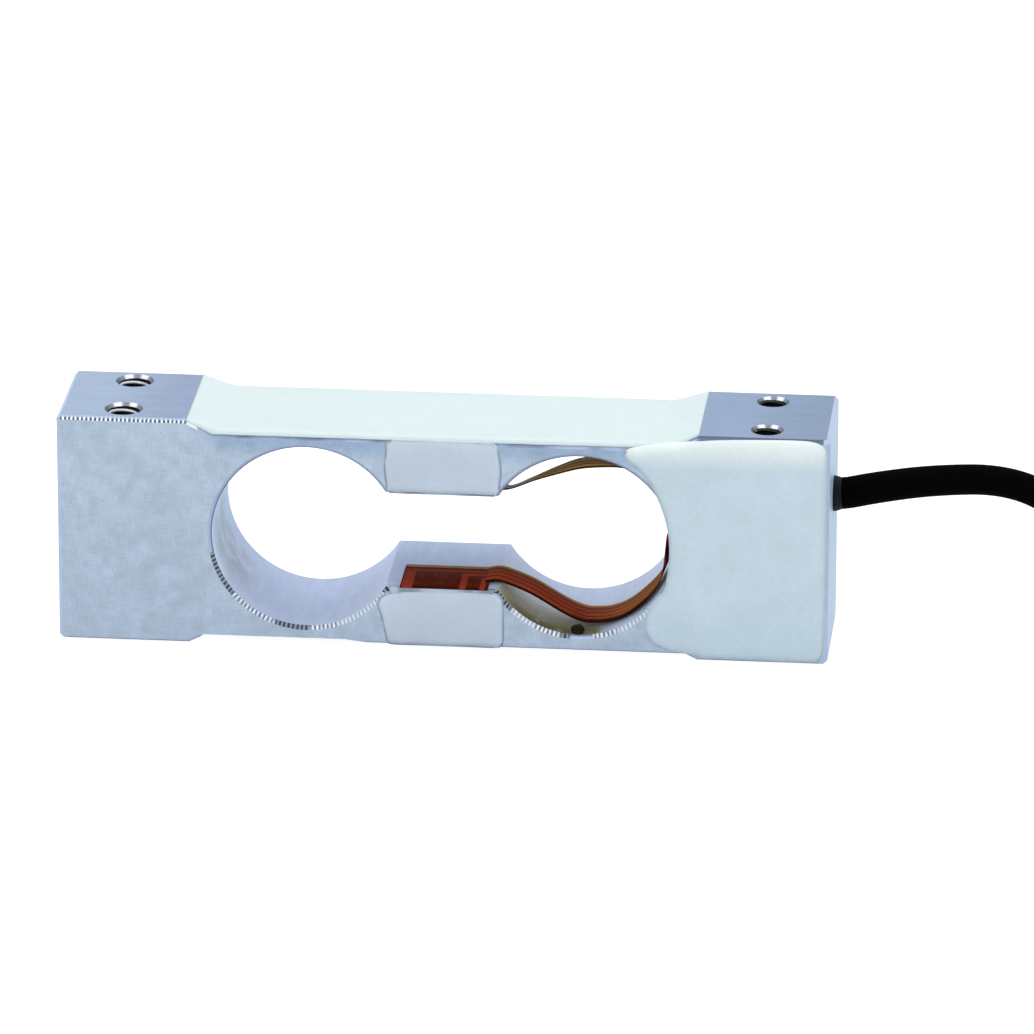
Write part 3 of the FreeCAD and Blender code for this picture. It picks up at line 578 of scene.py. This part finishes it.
def thread_metal():
    """Painted shade inside the hole, with painted sparks of light, and a painted highlight on the
    left block's first crest.
    """
    f = Finish("cut_thread")
    wavy = f.noise(1.2)
    _, out = from_hole(f)
    # A painted highlight on the first crest of the left block's threads.
    first = f.times(f.step(f.z, 35.1, 35.3), f.step(f.x, 0, -1), f.step(out, 2.4, 2.3))
    # Painted shade inside the holes, with small painted sparks.
    color = f.mix(f.step(f.noise(1.1, detail=1), 0.66, 0.7), rgb(18, 19, 22), rgb(168, 172, 178))
    return f.set(Base_Color=f.mix(first, color, f.shade(rgb(214, 218, 224), wavy, 0.3)),
                 Roughness=f.line(wavy, 0.2, 0.25), Metallic=0.3, Specular_IOR_Level=0.3)


cut_thread = thread_metal()
for side, x, wall, crest, pitch in TAPPED:
    for place, y in (("front", -HOLE_Y), ("rear", HOLE_Y)):
        ridge = thread_ridge("thread_%s_%s" % (side, place), x, y, wall, crest, pitch)
        wear(ridge, cut_thread)

# %% [markdown]
# ## Silicone finishes
# The silicone is a soft white rubber that was brushed on wet. It lets a little light in, so it
# gets some subsurface scattering, a satin skin and a low, slow waviness. Pads that fill the
# side channels look bluer, because they are thin over the metal.

# %% Silicone
def silicone(name, tint, cloudy=0.03, edge=None, high=None, low=None):
    """Satin rubber. high is painted light towards the top and low painted shade towards the bottom,
    each as (colour, height it starts at, height where it is full). edge is a painted contact shadow
    on the sides.
    """
    f = Finish(name)
    cloud = f.noise(0.16, detail=4)
    fine = f.noise(1.4, detail=4, roughness=0.6)
    color = tint
    for painted_gradient in (high, low):
        if painted_gradient:
            color = f.mix(f.step(f.z, painted_gradient[1], painted_gradient[2]), color, painted_gradient[0])
    color = f.shade(f.shade(color, cloud, cloudy), fine, 0.07)
    if edge:
        # The edge colour is a painted contact shadow on the sides of the rim.
        rim = f.node("ShaderNodeAttribute", attribute_name="rim").outputs["Fac"]
        border = f.times(f.step(rim, 0.3, 0.05), f.step(f.noise(0.25, detail=2), 0.3, 0.5),
                         f.step(f.size_of(f.nx), 0.1, 0.4))
        color = f.mix(f.times(border, 0.6), color, edge)
    f.bump(f.math("ADD", f.times(cloud, 4.0), fine), 0.03, 0.35)
    return f.set(Base_Color=color, Roughness=f.line(cloud, 0.2, 0.26), Specular_IOR_Level=0.35,
                 Subsurface_Weight=0.25, Subsurface_Scale=MM, Subsurface_Radius=(0.9, 1.0, 1.0))


coat_white = silicone("silicone_coat", rgb(220, 236, 236), cloudy=0.04)
# The pads get a painted contact shadow on their sides, painted light near the top and painted shade
# near the bottom.
pad_blue = silicone("silicone_pad", rgb(206, 221, 238), cloudy=0.1, edge=rgb(96, 112, 140),
                    high=(rgb(214, 228, 240), 31.5, 34.5), low=(rgb(202, 217, 232), 8.5, 4.0))
# The potting gets painted light along its top and painted shade towards the bottom.
potting_white = silicone("silicone_potting", rgb(208, 225, 234), cloudy=0.08,
                         high=(rgb(240, 250, 248), 31.0, 35.6), low=(rgb(204, 222, 234), 12.0, 3.0))
print("silicone finishes:", [m.name for m in (coat_white, pad_blue, potting_white)])

# %% [markdown]
# ## Top coat
# The upper gauges sit in a shallow recess, under a coat that fills it from block to block. It ends
# in a soft fillet against each block and in a rounded lip along the front and rear. A grid is the
# plainest start for such a skin: every row is moved to its place across the coat and every
# column follows the recess, and a Solidify modifier gives it its body.

# %% Top coat
SLOPE_RUN, TOP_FLOOR, COAT = 4.0, 34.7, 0.65
COAT_FRONT = [(-40, -10.8), (-36, -10.98), (-22, -10.85), (0, -10.8), (10, -10.75), (24, -10.6),
              (36, -10.4), (HALF_RECESS, -9.6)]
COAT_REAR = 10.75
SUNK, SKIN = 0.12, 0.02
RIM_SHARE, FILLET_RUN = 0.25, 1.6


def read_off(table, x):
    """Straight-line reading of a table of pairs."""
    for (x0, a), (x1, b) in zip(table, table[1:]):
        if x <= x1:
            return a + (b - a) * clamped((x - x0) / (x1 - x0))
    return table[-1][1]


def coat_heights(x):
    """Height of the metal and of the coat's upper surface at a place along the beam."""
    inward = HALF_RECESS - abs(x)
    metal = BLOCK_TOP - (BLOCK_TOP - TOP_FLOOR) * clamped(inward / SLOPE_RUN)
    share = clamped(inward / (SLOPE_RUN + FILLET_RUN))
    eased = 0.45 * share + 0.55 * share * share * (3 - 2 * share)
    return metal, max(BLOCK_TOP + SKIN + (TOP_FLOOR + COAT - BLOCK_TOP) * eased, metal + SKIN)


def coat_point(x, share):
    """A point of the coat's skin: share runs from the front edge, 0, to the rear edge, 1."""
    metal, over = coat_heights(x)
    front = read_off(COAT_FRONT, x) + 0.1 * noise.noise(Vector((x * 0.35, 1.7, 0)))
    rear = COAT_REAR + 0.1 * noise.noise(Vector((x * 0.3, 9.1, 0)))
    soft = min(0.9, (over - metal) * 1.3)
    near = min(share, 1 - share)
    angle = min(near / RIM_SHARE, 1) * math.pi / 2
    flat = max(near - RIM_SHARE, 0) / (0.5 - RIM_SHARE)
    inset = soft * (1 - math.cos(angle)) + flat * ((rear - front) / 2 - soft)
    y = front + inset if share < 0.5 else rear - inset
    ripple = 0.035 * noise.noise(Vector((x * 0.12, y * 0.2, 3.3))) * math.sin(angle)
    return Vector((x, y, metal - SUNK + (over - metal + SUNK) * math.sin(angle) + ripple))


bm = bmesh.new()
bmesh.ops.create_grid(bm, x_segments=200, y_segments=28, size=1)
for vert in bm.verts:
    vert.co = coat_point(vert.co.x * HALF_RECESS, (vert.co.y + 1) / 2)
top_coat = finished_piece(bm, "top_coat_silicone", recalculate=False)
body = top_coat.modifiers.new("body", "SOLIDIFY")
body.thickness, body.offset = 0.5 * MM, -1
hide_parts("top_coat")
wear(top_coat, coat_white)

# %% [markdown]
# ## Pads, potting and lower coat
# Each web has a shallow channel on its front, filled with a pad of silicone, and the pocket for the
# terminal board is potted level and over its edges. All are slabs with a rounded rim. Bevels and
# insets run into themselves on such free outlines, so a fine grid is cut to the outline, its
# border is drawn onto it, and every vertex rises with its distance from the border. The border is
# then extruded down into the metal and closed. The distance is kept as an attribute for the finish.
# The lower coat lies at the depth of the trimmed patch under the left bore, and shows only there.
# Along the rest of the beam its surface is just inside the metal.

# %% Outline helpers
def nearest_on(outline, point):
    """The nearest place on a closed outline and the distance to it."""
    best = (1e9, point)
    for a, b in zip(outline, outline[1:] + outline[:1]):
        along = b - a
        share = clamped((point - a).dot(along) / max(along.length_squared, 1e-9))
        place = a + along * share
        gap = (point - place).length_squared
        if gap < best[0]:
            best = (gap, place)
    return best[1], math.sqrt(best[0])


def is_inside(outline, point):
    """Whether a point lies inside a closed outline."""
    inside = False
    for a, b in zip(outline, outline[1:] + outline[:1]):
        if (a.y > point.y) != (b.y > point.y):
            if point.x < (b.x - a.x) * (point.y - a.y) / (b.y - a.y) + a.x:
                inside = not inside
    return inside


# %% Slab helper
def crowned_slab(outline, proud, rim, cell=0.45, sunk=0.2):
    """A slab in the XY plane, rounded upwards over its rim."""
    outline = [Vector(place) for place in outline]
    low = Vector([min(place[k] for place in outline) for k in (0, 1)])
    high = Vector([max(place[k] for place in outline) for k in (0, 1)])
    span, middle = high - low, (high + low) / 2
    bm = bmesh.new()
    share_of_rim = bm.verts.layers.float.new("rim")
    bmesh.ops.create_grid(bm, x_segments=int(span.x / cell), y_segments=int(span.y / cell),
                          size=0.5)
    bmesh.ops.scale(bm, vec=(span.x, span.y, 1), verts=bm.verts)
    bmesh.ops.translate(bm, vec=(middle.x, middle.y, 0), verts=bm.verts)
    outside = [v for v in bm.verts if not is_inside(outline, v.co.xy)]
    bmesh.ops.delete(bm, geom=outside, context="VERTS")
    bmesh.ops.delete(bm, geom=[v for v in bm.verts if not v.link_faces], context="VERTS")
    for vert in bm.verts:
        near, gap = nearest_on(outline, vert.co.xy)
        share = 0 if vert.is_boundary else min(gap / rim, 1)
        if vert.is_boundary:
            vert.co.xy = near
        vert[share_of_rim] = share
        ripple = 0.05 * share * noise.noise(Vector((vert.co.x * 0.35, vert.co.y * 0.35, proud * 7)))
        vert.co.z = proud * math.sqrt(1 - (1 - share) ** 2) + ripple
    border = [e for e in bm.edges if e.is_boundary]
    skirt = bmesh.ops.extrude_edge_only(bm, edges=border)["geom"]
    lowest = [part for part in skirt if isinstance(part, bmesh.types.BMVert)]
    bmesh.ops.translate(bm, vec=(0, 0, -sunk), verts=lowest)
    bmesh.ops.holes_fill(bm, edges=[e for e in bm.edges if e.is_boundary], sides=0)
    return bm


def filler(bm, low, high):
    """A plain block of the same silicone where it fills a channel or notch in the metal."""
    middle = [(a + b) / 2 for a, b in zip(low, high)]
    made = bmesh.ops.create_cube(bm, size=1)["verts"]
    bmesh.ops.scale(bm, vec=[b - a for a, b in zip(low, high)], verts=made)
    bmesh.ops.translate(bm, vec=middle, verts=made)


TRIMMED_UNDERSIDE = 1.5
ON_FRONT = Matrix(((1, 0, 0, 0), (0, 0, -1, -HALF_WIDTH), (0, 1, 0, 0), (0, 0, 0, 1)))
UNDER_BEAM = Matrix(((1, 0, 0, 0), (0, -1, 0, 0), (0, 0, -1, TRIMMED_UNDERSIDE), (0, 0, 0, 1)))
print("slabs lie on the front and under the beam")

# %% Slab outlines
UPPER_PAD = [(-8.3, 34.55), (-8.8, 32.6), (-9.0, 29.6), (-8.7, 27.4), (-8.3, 26.05), (-4.0, 25.98),
             (4.0, 25.98), (8.7, 26.05), (9.05, 27.6), (9.3, 30.0), (9.0, 32.6), (8.2, 34.5),
             (5.0, 34.8), (0.0, 34.9), (-5.0, 34.8)]
LOWER_PAD = [(-8.2, 1.0), (-8.8, 2.2), (-9.5, 5.4), (-10.1, 7.7), (-9.2, 9.0), (-7.0, 9.7),
             (-3.0, 10.05), (2.0, 10.2), (6.8, 10.1), (8.4, 9.95), (9.3, 9.4), (9.65, 8.2),
             (9.7, 5.0), (9.6, 1.8), (8.8, 0.95), (4.0, 0.9), (-4.0, 0.9)]
POTTING = [(28.6, 34.3), (33.0, 35.4), (39.9, 36.15), (46.0, 36.5), (53.5, 36.7), (57.2, 36.55),
           (59.0, 35.8), (59.5, 34.0), (59.6, 24.0), (59.45, 10.0), (59.3, 3.0), (58.9, 1.1),
           (57.2, 0.35), (48.0, 0.35), (41.0, 0.5), (38.6, 1.0), (35.6, 1.45), (33.0, 2.6),
           (31.7, 4.8), (31.9, 7.4), (33.0, 9.6), (34.4, 11.3), (34.95, 13.5), (35.3, 17.0),
           (35.2, 20.0), (34.75, 22.6), (33.9, 25.3), (32.6, 28.2), (30.7, 30.9), (28.7, 32.7)]
BOTTOM_COAT = [(-35, -9.2), (-20, -9.4), (0, -9.3), (20, -9.5), (35, -9.1), (36, -7), (36, 7),
               (35, 9.1), (15, 9.4), (-10, 9.3), (-35, 9.2), (-36, 7), (-36, -7)]
SLOT_FLOOR, SLOT_CEILING = 10.3, 25.9
# Name, outline, height, width of the rounded rim, place, finish, CAD node, and its filler block.
SLABS = [("upper_pad", UPPER_PAD, 0.2, 1.8, ON_FRONT, pad_blue, "upper_side_pad",
          ((-8.15, -11.05, SLOT_CEILING + 0.02), (8.15, -9.85, 34.6))),
         ("lower_pad", LOWER_PAD, 0.24, 1.5, ON_FRONT, pad_blue, "lower_side_pad",
          ((-8.15, -11.05, 1.0), (8.15, -9.85, SLOT_FLOOR - 0.02))),
         ("potting", POTTING, 0.7, 2.4, ON_FRONT, potting_white, "side_potting",
          ((36.3, -10.9, 11.7), (39.2, 0.1, 22.3))),
         ("bottom_coat", BOTTOM_COAT, 0.55, 1.6, UNDER_BEAM, coat_white, "bottom_coat", None)]
for name, outline, proud, rim, turn_to, finish, node, block in SLABS:
    bm = crowned_slab(through(outline, 8, closed=True), proud, rim)
    bmesh.ops.transform(bm, matrix=turn_to, verts=bm.verts)
    if block:
        filler(bm, *block)
    slab = finished_piece(bm, name + "_silicone")
    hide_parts(node)
    wear(slab, finish)

# %% [markdown]
# ## Flex circuits
# A flex circuit is a thin amber film with copper traces in it. One lies on the slot's floor and one
# under its ceiling, and each sends a tail through the right bore into the notch. A tail
# sags, arches and twists, so it is drawn as two edge lines that a bridge joins into a ribbon, and a
# Solidify modifier gives the film its thickness. Its own UV map runs in millimetres along it and
# in shares of its width across it, which is what a pattern of traces needs.

# %% Ribbons
FILM = 0.14


def ribbon(name, stations, steps=8):
    """A film between two edges. A station is (x, z) in front, (x, z) at the rear, and both Y."""
    rows = through(stations, steps)
    bm = bmesh.new()
    places, lines = {}, []
    for k in (0, 1):
        verts = [bm.verts.new((row[2 * k], row[4 + k], row[2 * k + 1])) for row in rows]
        lines += [bm.edges.new(pair) for pair in zip(verts, verts[1:])]
        for i, vert in enumerate(verts):
            places[vert] = (i, k)
    bmesh.ops.bridge_loops(bm, edges=lines)
    lengths = [0]
    for a, b in zip(rows, rows[1:]):
        lengths.append(lengths[-1] + math.hypot(b[0] - a[0], b[1] - a[1]))
    film_map = bm.loops.layers.uv.new("film")
    for face in bm.faces:
        for loop in face.loops:
            i, k = places[loop.vert]
            loop[film_map].uv = (lengths[i], k)
    made = finished_piece(bm, name)
    thick = made.modifiers.new("thickness", "SOLIDIFY")
    thick.thickness, thick.offset = FILM * MM, 0
    return made


lower_tail = ribbon("lower_flex_tail", [
    (6.4, 10.46, 6.4, 10.46, -7.5, -0.7), (8.0, 10.75, 8.0, 10.7, -7.4, -0.6),
    (9.9, 10.3, 9.9, 10.3, -7.4, -0.5), (13.7, 8.7, 13.7, 8.7, -7.4, -0.4),
    (18.5, 5.85, 18.5, 5.85, -7.4, -0.3), (21.3, 4.6, 21.3, 4.6, -7.4, -0.2),
    (23.2, 4.4, 23.2, 4.4, -7.4, -0.2), (26.0, 4.75, 26.0, 4.75, -7.4, -0.2),
    (28.8, 6.0, 28.8, 6.1, -7.4, -0.2), (31.7, 8.6, 31.8, 8.8, -7.4, -0.2),
    (33.5, 11.2, 33.8, 11.4, -7.4, -0.4), (34.2, 14.0, 34.9, 14.0, -7.6, -1.0),
    (34.5, 17.0, 35.2, 17.0, -7.8, -1.5), (34.9, 19.8, 35.5, 19.4, -7.8, -1.6),
    (36.4, 21.2, 36.6, 20.6, -7.8, -1.8), (38.0, 21.4, 38.0, 20.8, -7.8, -1.8)])
upper_tail = ribbon("upper_flex_tail", [
    (6.0, 25.76, 6.0, 25.76, -7.5, -0.7), (8.2, 25.7, 7.8, 25.0, -7.4, -0.4),
    (10.6, 26.1, 9.8, 24.0, -7.4, -0.2), (14.0, 27.5, 13.2, 25.5, -7.4, -0.2),
    (17.6, 28.7, 17.0, 27.4, -7.4, -0.2), (21.1, 29.7, 20.4, 28.8, -7.4, -0.2),
    (24.7, 30.1, 23.6, 29.2, -7.4, -0.2), (27.5, 30.1, 26.4, 28.4, -7.4, -0.2),
    (29.6, 29.5, 28.8, 27.0, -7.4, -0.2), (32.0, 27.4, 31.2, 25.2, -7.4, -0.4),
    (33.8, 24.6, 33.2, 22.8, -7.4, -0.8), (34.9, 22.3, 34.6, 21.4, -7.6, -1.2),
    (36.4, 21.9, 36.4, 21.3, -7.8, -1.6), (38.0, 22.0, 38.0, 21.6, -7.8, -1.8)])
PLATE_X, PLATE_GAP = (-6.6, -2, 2, 7.1), 0.12
low_z, high_z = SLOT_FLOOR + PLATE_GAP, SLOT_CEILING - PLATE_GAP
lower_plate = ribbon("lower_flex_plate", [(x, low_z, x, low_z, -10.85, -0.7) for x in PLATE_X])
upper_plate = ribbon("upper_flex_plate", [(x, high_z, x, high_z, -9.3, -0.7) for x in PLATE_X])

# %% [markdown]
# Under the amber the copper looks red-brown and the gaps between traces nearly black. The traces
# are too thin to model, so bands across the UV map colour them. Where the film turns into the
# light it goes more golden.

# %% Film finishes
# DARK, the lower film's front edge, is partly the film's own edge and partly painted shade.
DARK, LINE, RED_COPPER, BROWN = rgb(44, 10, 4), rgb(84, 26, 12), rgb(160, 66, 38), rgb(146, 72, 36)
TAN, GOLD, OLIVE, LIT = rgb(184, 144, 94), rgb(190, 144, 80), rgb(70, 46, 20), rgb(176, 116, 58)
TRACE_BLUR = 0.012
LOWER_GAPS = [(0.3, 0.35), (0.54, 0.59), (0.76, 0.8)]
PLATE_BARS = ((0.2, 1.9, 0.82), (9.2, 10.2, 0.68), (12.4, 13.2, 0.5))


def film_finish(name, stops):
    """Traces along a film: a table of (share across, colour), each colour up to the next share.

    Returns the finish, the place along the film, the share across it, and the colour so far."""
    f = Finish(name)
    along, share, _ = f.parts(f.node("ShaderNodeUVMap", uv_map="film").outputs[0])
    share = f.math("ADD", share, f.line(f.noise(0.3), 0.03, -0.015))
    color = stops[0][1]
    for edge, next_color in stops[1:]:
        color = f.mix(f.step(share, edge - TRACE_BLUR, edge + TRACE_BLUR), color, next_color)
    f.set(Roughness=0.75, Specular_IOR_Level=0.03)
    return f, along, share, f.shade(color, f.noise(0.5, detail=4), 0.2)


def lower_film():
    """Red-brown traces, with painted light that turns them golden to the right, and a deep painted
    shadow along the sagging front edge.
    """
    f, _, share, color = film_finish("film_lower", [
        (0, DARK), (0.1, RED_COPPER), (0.3, LINE), (0.35, RED_COPPER), (0.54, LINE),
        (0.59, RED_COPPER), (0.76, LINE), (0.8, BROWN), (0.9, TAN)])
    # Painted light: the film turns golden to the right, where it faces the light.
    lit_stretch = f.times(f.step(f.x, 21, 30), f.step(share, 0.1, 0.12))
    gap = f.bands(share, LOWER_GAPS, TRACE_BLUR)
    color = f.mix(f.times(lit_stretch, f.less(0.75, f.times(gap, 0.65))), color, LIT)
    # A painted shadow along the film's front edge where it sags.
    under = f.times(f.band(f.x, 19.5, 33, 3), f.step(share, 0.26, 0.14))
    color = f.mix(f.times(under, 0.85), color, rgb(40, 14, 8))
    bend = f.times(f.step(f.x, 33.4, 34.3), f.step(f.z, 11, 12.5))
    blotched = f.mix(f.step(f.noise(0.45), 0.42, 0.55), rgb(52, 8, 10), rgb(150, 52, 56))
    return f.set(Base_Color=f.mix(bend, color, blotched))


def upper_film():
    """Gold traces with near-black gaps; the first stretch shows its grey-tan rear."""
    f, _, share, color = film_finish("film_upper", [
        (0, OLIVE), (0.12, GOLD), (0.32, OLIVE), (0.38, GOLD), (0.56, OLIVE), (0.62, GOLD),
        (0.84, OLIVE), (0.88, TAN)])
    pale = f.shade(rgb(212, 198, 190), f.noise(0.4, (0.3, 1, 1)), 0.2)
    first_stretch = f.times(f.step(f.x, 15, 11), f.step(share, 0.1, 0.2))
    return f.set(Base_Color=f.mix(first_stretch, color, pale))


def plate_film():
    """The film in the slot: a dark field, three copper bars and the traces that leave them."""
    f, along, share, field = film_finish("film_plate", [(0, rgb(84, 28, 14)), (0.9, TAN)])
    spots = f.step(f.noise(0.8, detail=5), 0.5, 0.64)
    front_part = f.step(share, 0.9, 0.88)
    field = f.mix(f.times(spots, front_part), field, rgb(104, 42, 24))
    field = f.mix(f.times(f.step(share, 0.12, 0.04), 0.8), field, rgb(54, 10, 8))
    for start, end, depth in PLATE_BARS:
        bar = f.times(f.band(along, start, end, 0.05), f.step(share, depth + 0.01, depth - 0.01))
        lead = f.times(f.step(along, start - 0.05, start + 0.05),
                       f.band(share, depth - 0.1, depth, 0.01))
        field = f.mix(f.most(bar, lead), field, rgb(150, 58, 38))
    border = f.times(f.step(along, 0.22, 0.12), front_part)
    return f.set(Base_Color=f.mix(border, field, rgb(30, 8, 8)))


plate = plate_film()
for piece, material, node in ((lower_tail, lower_film(), "lower_flex_film"),
                              (lower_plate, plate, "lower_flex_traces"),
                              (upper_tail, upper_film(), "upper_flex_film"),
                              (upper_plate, plate, "upper_flex_traces")):
    wear(piece, material)
    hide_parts(node)
print("film finishes done")

# %% [markdown]
# A dab of brown adhesive has set on the bore's wall beside the lower tail. It is a small blob that
# wetted the wall, so a sphere, flattened and pushed about by noise, has the right uneven dome.

# %% Adhesive dab
bm = bmesh.new()
bmesh.ops.create_icosphere(bm, subdivisions=4, radius=1)
for vert in bm.verts:
    vert.co *= 1 + 0.16 * noise.noise(vert.co * 1.3 + Vector((4, 1, 7)))
bmesh.ops.scale(bm, vec=(1.0, 1.5, 0.72), verts=bm.verts)
bmesh.ops.translate(bm, vec=(21.0, -9.1, 3.75), verts=bm.verts)
dab = finished_piece(bm, "adhesive_dab")
wear(dab, plastic("adhesive_brown", rgb(34, 26, 12), 0.7, 0.3, 0.05, gloss=0.05))

# %% [markdown]
# ## Far end
# The cable is sold cut and stripped: four cores with tinned tips. They pass under the front of the
# coil, close to the floor, and fan out there. The green and the white core press into its lower
# turn a little. Thin NURBS curves are enough for wires of this size.

# %% Stripped cores
CORE_COLORS = {"red": rgb(176, 30, 26), "black": rgb(22, 22, 24), "green": rgb(28, 110, 58),
               "white": rgb(226, 226, 222)}
CORE_RADIUS, TIP_RADIUS, CORE_PITCH = 0.4, 0.25, 0.9
# How far each bend of a core is ahead of the cable's end, and how much wider the cores are there.
FAN = ((4, 0.3), (9, 1.0), (14, 1.8), (19, 2.5), (23, 3.1))
FAN_CURVE, FAN_SLOPE, LOWEST = 0.04, 0.3, 0.42
tin = plastic("tin", rgb(196, 200, 204), 0.3, 0.1)
tin.node_tree.nodes["Principled BSDF"].inputs["Metallic"].default_value = 0.9
last, before = Vector(coil_points[-1]), Vector(coil_points[-2])
heading = (last - before).normalized()
sideways = Vector((-heading.y, heading.x, 0))
for i, (color, value) in enumerate(CORE_COLORS.items()):
    row = i - 1.5
    points = [last - heading * 1.5 + sideways * row * CORE_PITCH]
    for ahead, spread in FAN:
        aside = row * (CORE_PITCH + spread) + FAN_CURVE * ahead * ahead
        place = last + heading * ahead + sideways * aside
        points.append(Vector((place.x, place.y, max(CABLE_RADIUS - ahead * FAN_SLOPE, LOWEST))))
    onward = (points[-1] - points[-2]).normalized()
    core = curve_object("far_end_" + color, points, [CORE_RADIUS] * len(points))
    tip_points = [points[-1] + onward * ahead for ahead in (0, 2.5, 5)]
    tip = curve_object("far_tip_" + color, tip_points, [TIP_RADIUS] * len(tip_points))
    for piece, slot_name in ((core, "core_" + color), (tip, "tinned_copper")):
        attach(piece, "root")
    wear(core, plastic("core_" + color, value))
    wear(tip, tin)
    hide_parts("far_core_" + color)
    wear(nodes["core_" + color], core.data.materials[0])
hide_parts("tinned_tips")

# %% [markdown]
# ## Seal and inner parts
# Black sealant closes the cable's hole and climbs a little way up the jacket, which makes the cable
# look thicker where it leaves the metal. Its section is a few vertices, spun round the cable. The
# board, resistors, gauges and solder stay as the CAD has them, and only get their finishes.

# %% Seal
SEAL_HEIGHT = 24.42
SEAL_SECTION = [(59.5, 2.3), (59.7, 2.72), (60.15, 2.8), (60.6, 2.72), (61.1, 2.56), (61.5, 2.4),
                (61.5, 2.2)]
bm = bmesh.new()
ring = [bm.verts.new((x, 0, SEAL_HEIGHT + radius)) for x, radius in SEAL_SECTION]
loop = [bm.edges.new(pair) for pair in zip(ring, ring[1:] + ring[:1])]
bmesh.ops.spin(bm, geom=ring + loop, cent=(0, 0, SEAL_HEIGHT), axis=(1, 0, 0), angle=2 * math.pi,
               steps=48, use_merge=True, use_duplicate=False)
seal = finished_piece(bm, "cable_seal_bead")
wear(seal, plastic("seal_black", rgb(6, 7, 12), 0.6, 0.1, 0.04, gloss=0.15))
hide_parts("cable_seal")

# %% Inner parts
foil = plastic("gauge_foil", rgb(176, 128, 72), 0.35, 0.3)
wear(nodes["terminal_board"], plastic("board_green", rgb(26, 84, 52), 0.4, 0.15))
wear(nodes["trim_resistors"], plastic("resistor_black", rgb(24, 24, 26), 0.35, 0.2))
wear(nodes["solder_joints"], tin)
for name in ("top_left", "top_right", "bottom_left", "bottom_right"):
    wear(nodes["gauge_" + name], foil)
print("inner parts dressed")

# %% [markdown]
# ## Stage
# The floor and the world read as plain white to the camera and in reflections, where a strength of
# 1 is white, and the lamps stay at a plain level. The floor adds its own shading to slightly less
# than white, so that the object keeps a faint shadow.

# %% Floor and world
FLOOR_DROP, FLOOR_SIZE = 0.0005, 3


def shader(tree, kind, color=None, strength=None):
    """The output of a new shader node."""
    made = tree.nodes.new(kind)
    for name, value in (("Color", color), ("Strength", strength)):
        if value is not None:
            made.inputs[name].default_value = value
    return made.outputs[0]


def split_by_ray(tree, output_kind, direct, indirect):
    """Shows direct to camera, glossy and transmission rays, and indirect to all the others."""
    path = tree.nodes.new("ShaderNodeLightPath")
    seen = path.outputs["Is Camera Ray"]
    for name in ("Is Glossy Ray", "Is Transmission Ray"):
        either = tree.nodes.new("ShaderNodeMath")
        either.operation = "MAXIMUM"
        tree.links.new(seen, either.inputs[0])
        tree.links.new(path.outputs[name], either.inputs[1])
        seen = either.outputs[0]
    choice = tree.nodes.new("ShaderNodeMixShader")
    for source, socket in zip((seen, indirect, direct), choice.inputs):
        tree.links.new(source, socket)
    output = tree.nodes.new(output_kind)
    tree.links.new(choice.outputs[0], output.inputs["Surface"])


bm = bmesh.new()
bmesh.ops.create_grid(bm, x_segments=1, y_segments=1, size=FLOOR_SIZE)
floor_mesh = bpy.data.meshes.new("floor")
bm.to_mesh(floor_mesh)
bm.free()
floor = bpy.data.objects.new("floor", floor_mesh)
floor.location.z = -FLOOR_DROP
bpy.context.collection.objects.link(floor)
floor_material = bpy.data.materials.new("floor_white")
floor_material.use_nodes = True
tree = floor_material.node_tree
tree.nodes.clear()
lit = tree.nodes.new("ShaderNodeAddShader")
tree.links.new(shader(tree, "ShaderNodeEmission", strength=0.9), lit.inputs[0])
tree.links.new(shader(tree, "ShaderNodeBsdfDiffuse", (0.4, 0.4, 0.4, 1)), lit.inputs[1])
dull = shader(tree, "ShaderNodeBsdfDiffuse", (0.75, 0.76, 0.78, 1))
split_by_ray(tree, "ShaderNodeOutputMaterial", lit.outputs[0], dull)
floor_mesh.materials.append(floor_material)

world = bpy.data.worlds.new("studio")
bpy.context.scene.world = world
world.use_nodes = True
tree = world.node_tree
tree.nodes.clear()
air = shader(tree, "ShaderNodeBackground", (0.93, 0.97, 1.0, 1), 0.55)
white = shader(tree, "ShaderNodeBackground", (1, 1, 1, 1))
split_by_ray(tree, "ShaderNodeOutputWorld", white, air)
print("stage:", floor.name, world.name)


# %% Lamps
def soft_box(name, place, target, size, power, color=(1, 1, 1)):
    """A square area light, aimed at a point."""
    data = bpy.data.lights.new(name, "AREA")
    data.shape = "SQUARE"
    data.size = size
    data.energy = power
    data.color = color
    lamp = bpy.data.objects.new(name, data)
    lamp.location = place
    aim = Vector(place) - Vector(target)
    lamp.rotation_euler = aim.to_track_quat("Z", "Y").to_euler()
    bpy.context.collection.objects.link(lamp)
    print(name, power, "W")


soft_box("overhead", (0.0, 0.15, 0.9), (0, 0, 0.02), 0.8, 4.0)
soft_box("front", (-0.3, -1.0, 0.5), (0, 0, 0.02), 0.6, 3.0)
soft_box("right", (1.1, -0.2, 0.35), (0.05, 0, 0.02), 0.5, 1.6)

# %% [markdown]
# ## Finish

# %% Update
bpy.context.view_layer.update()
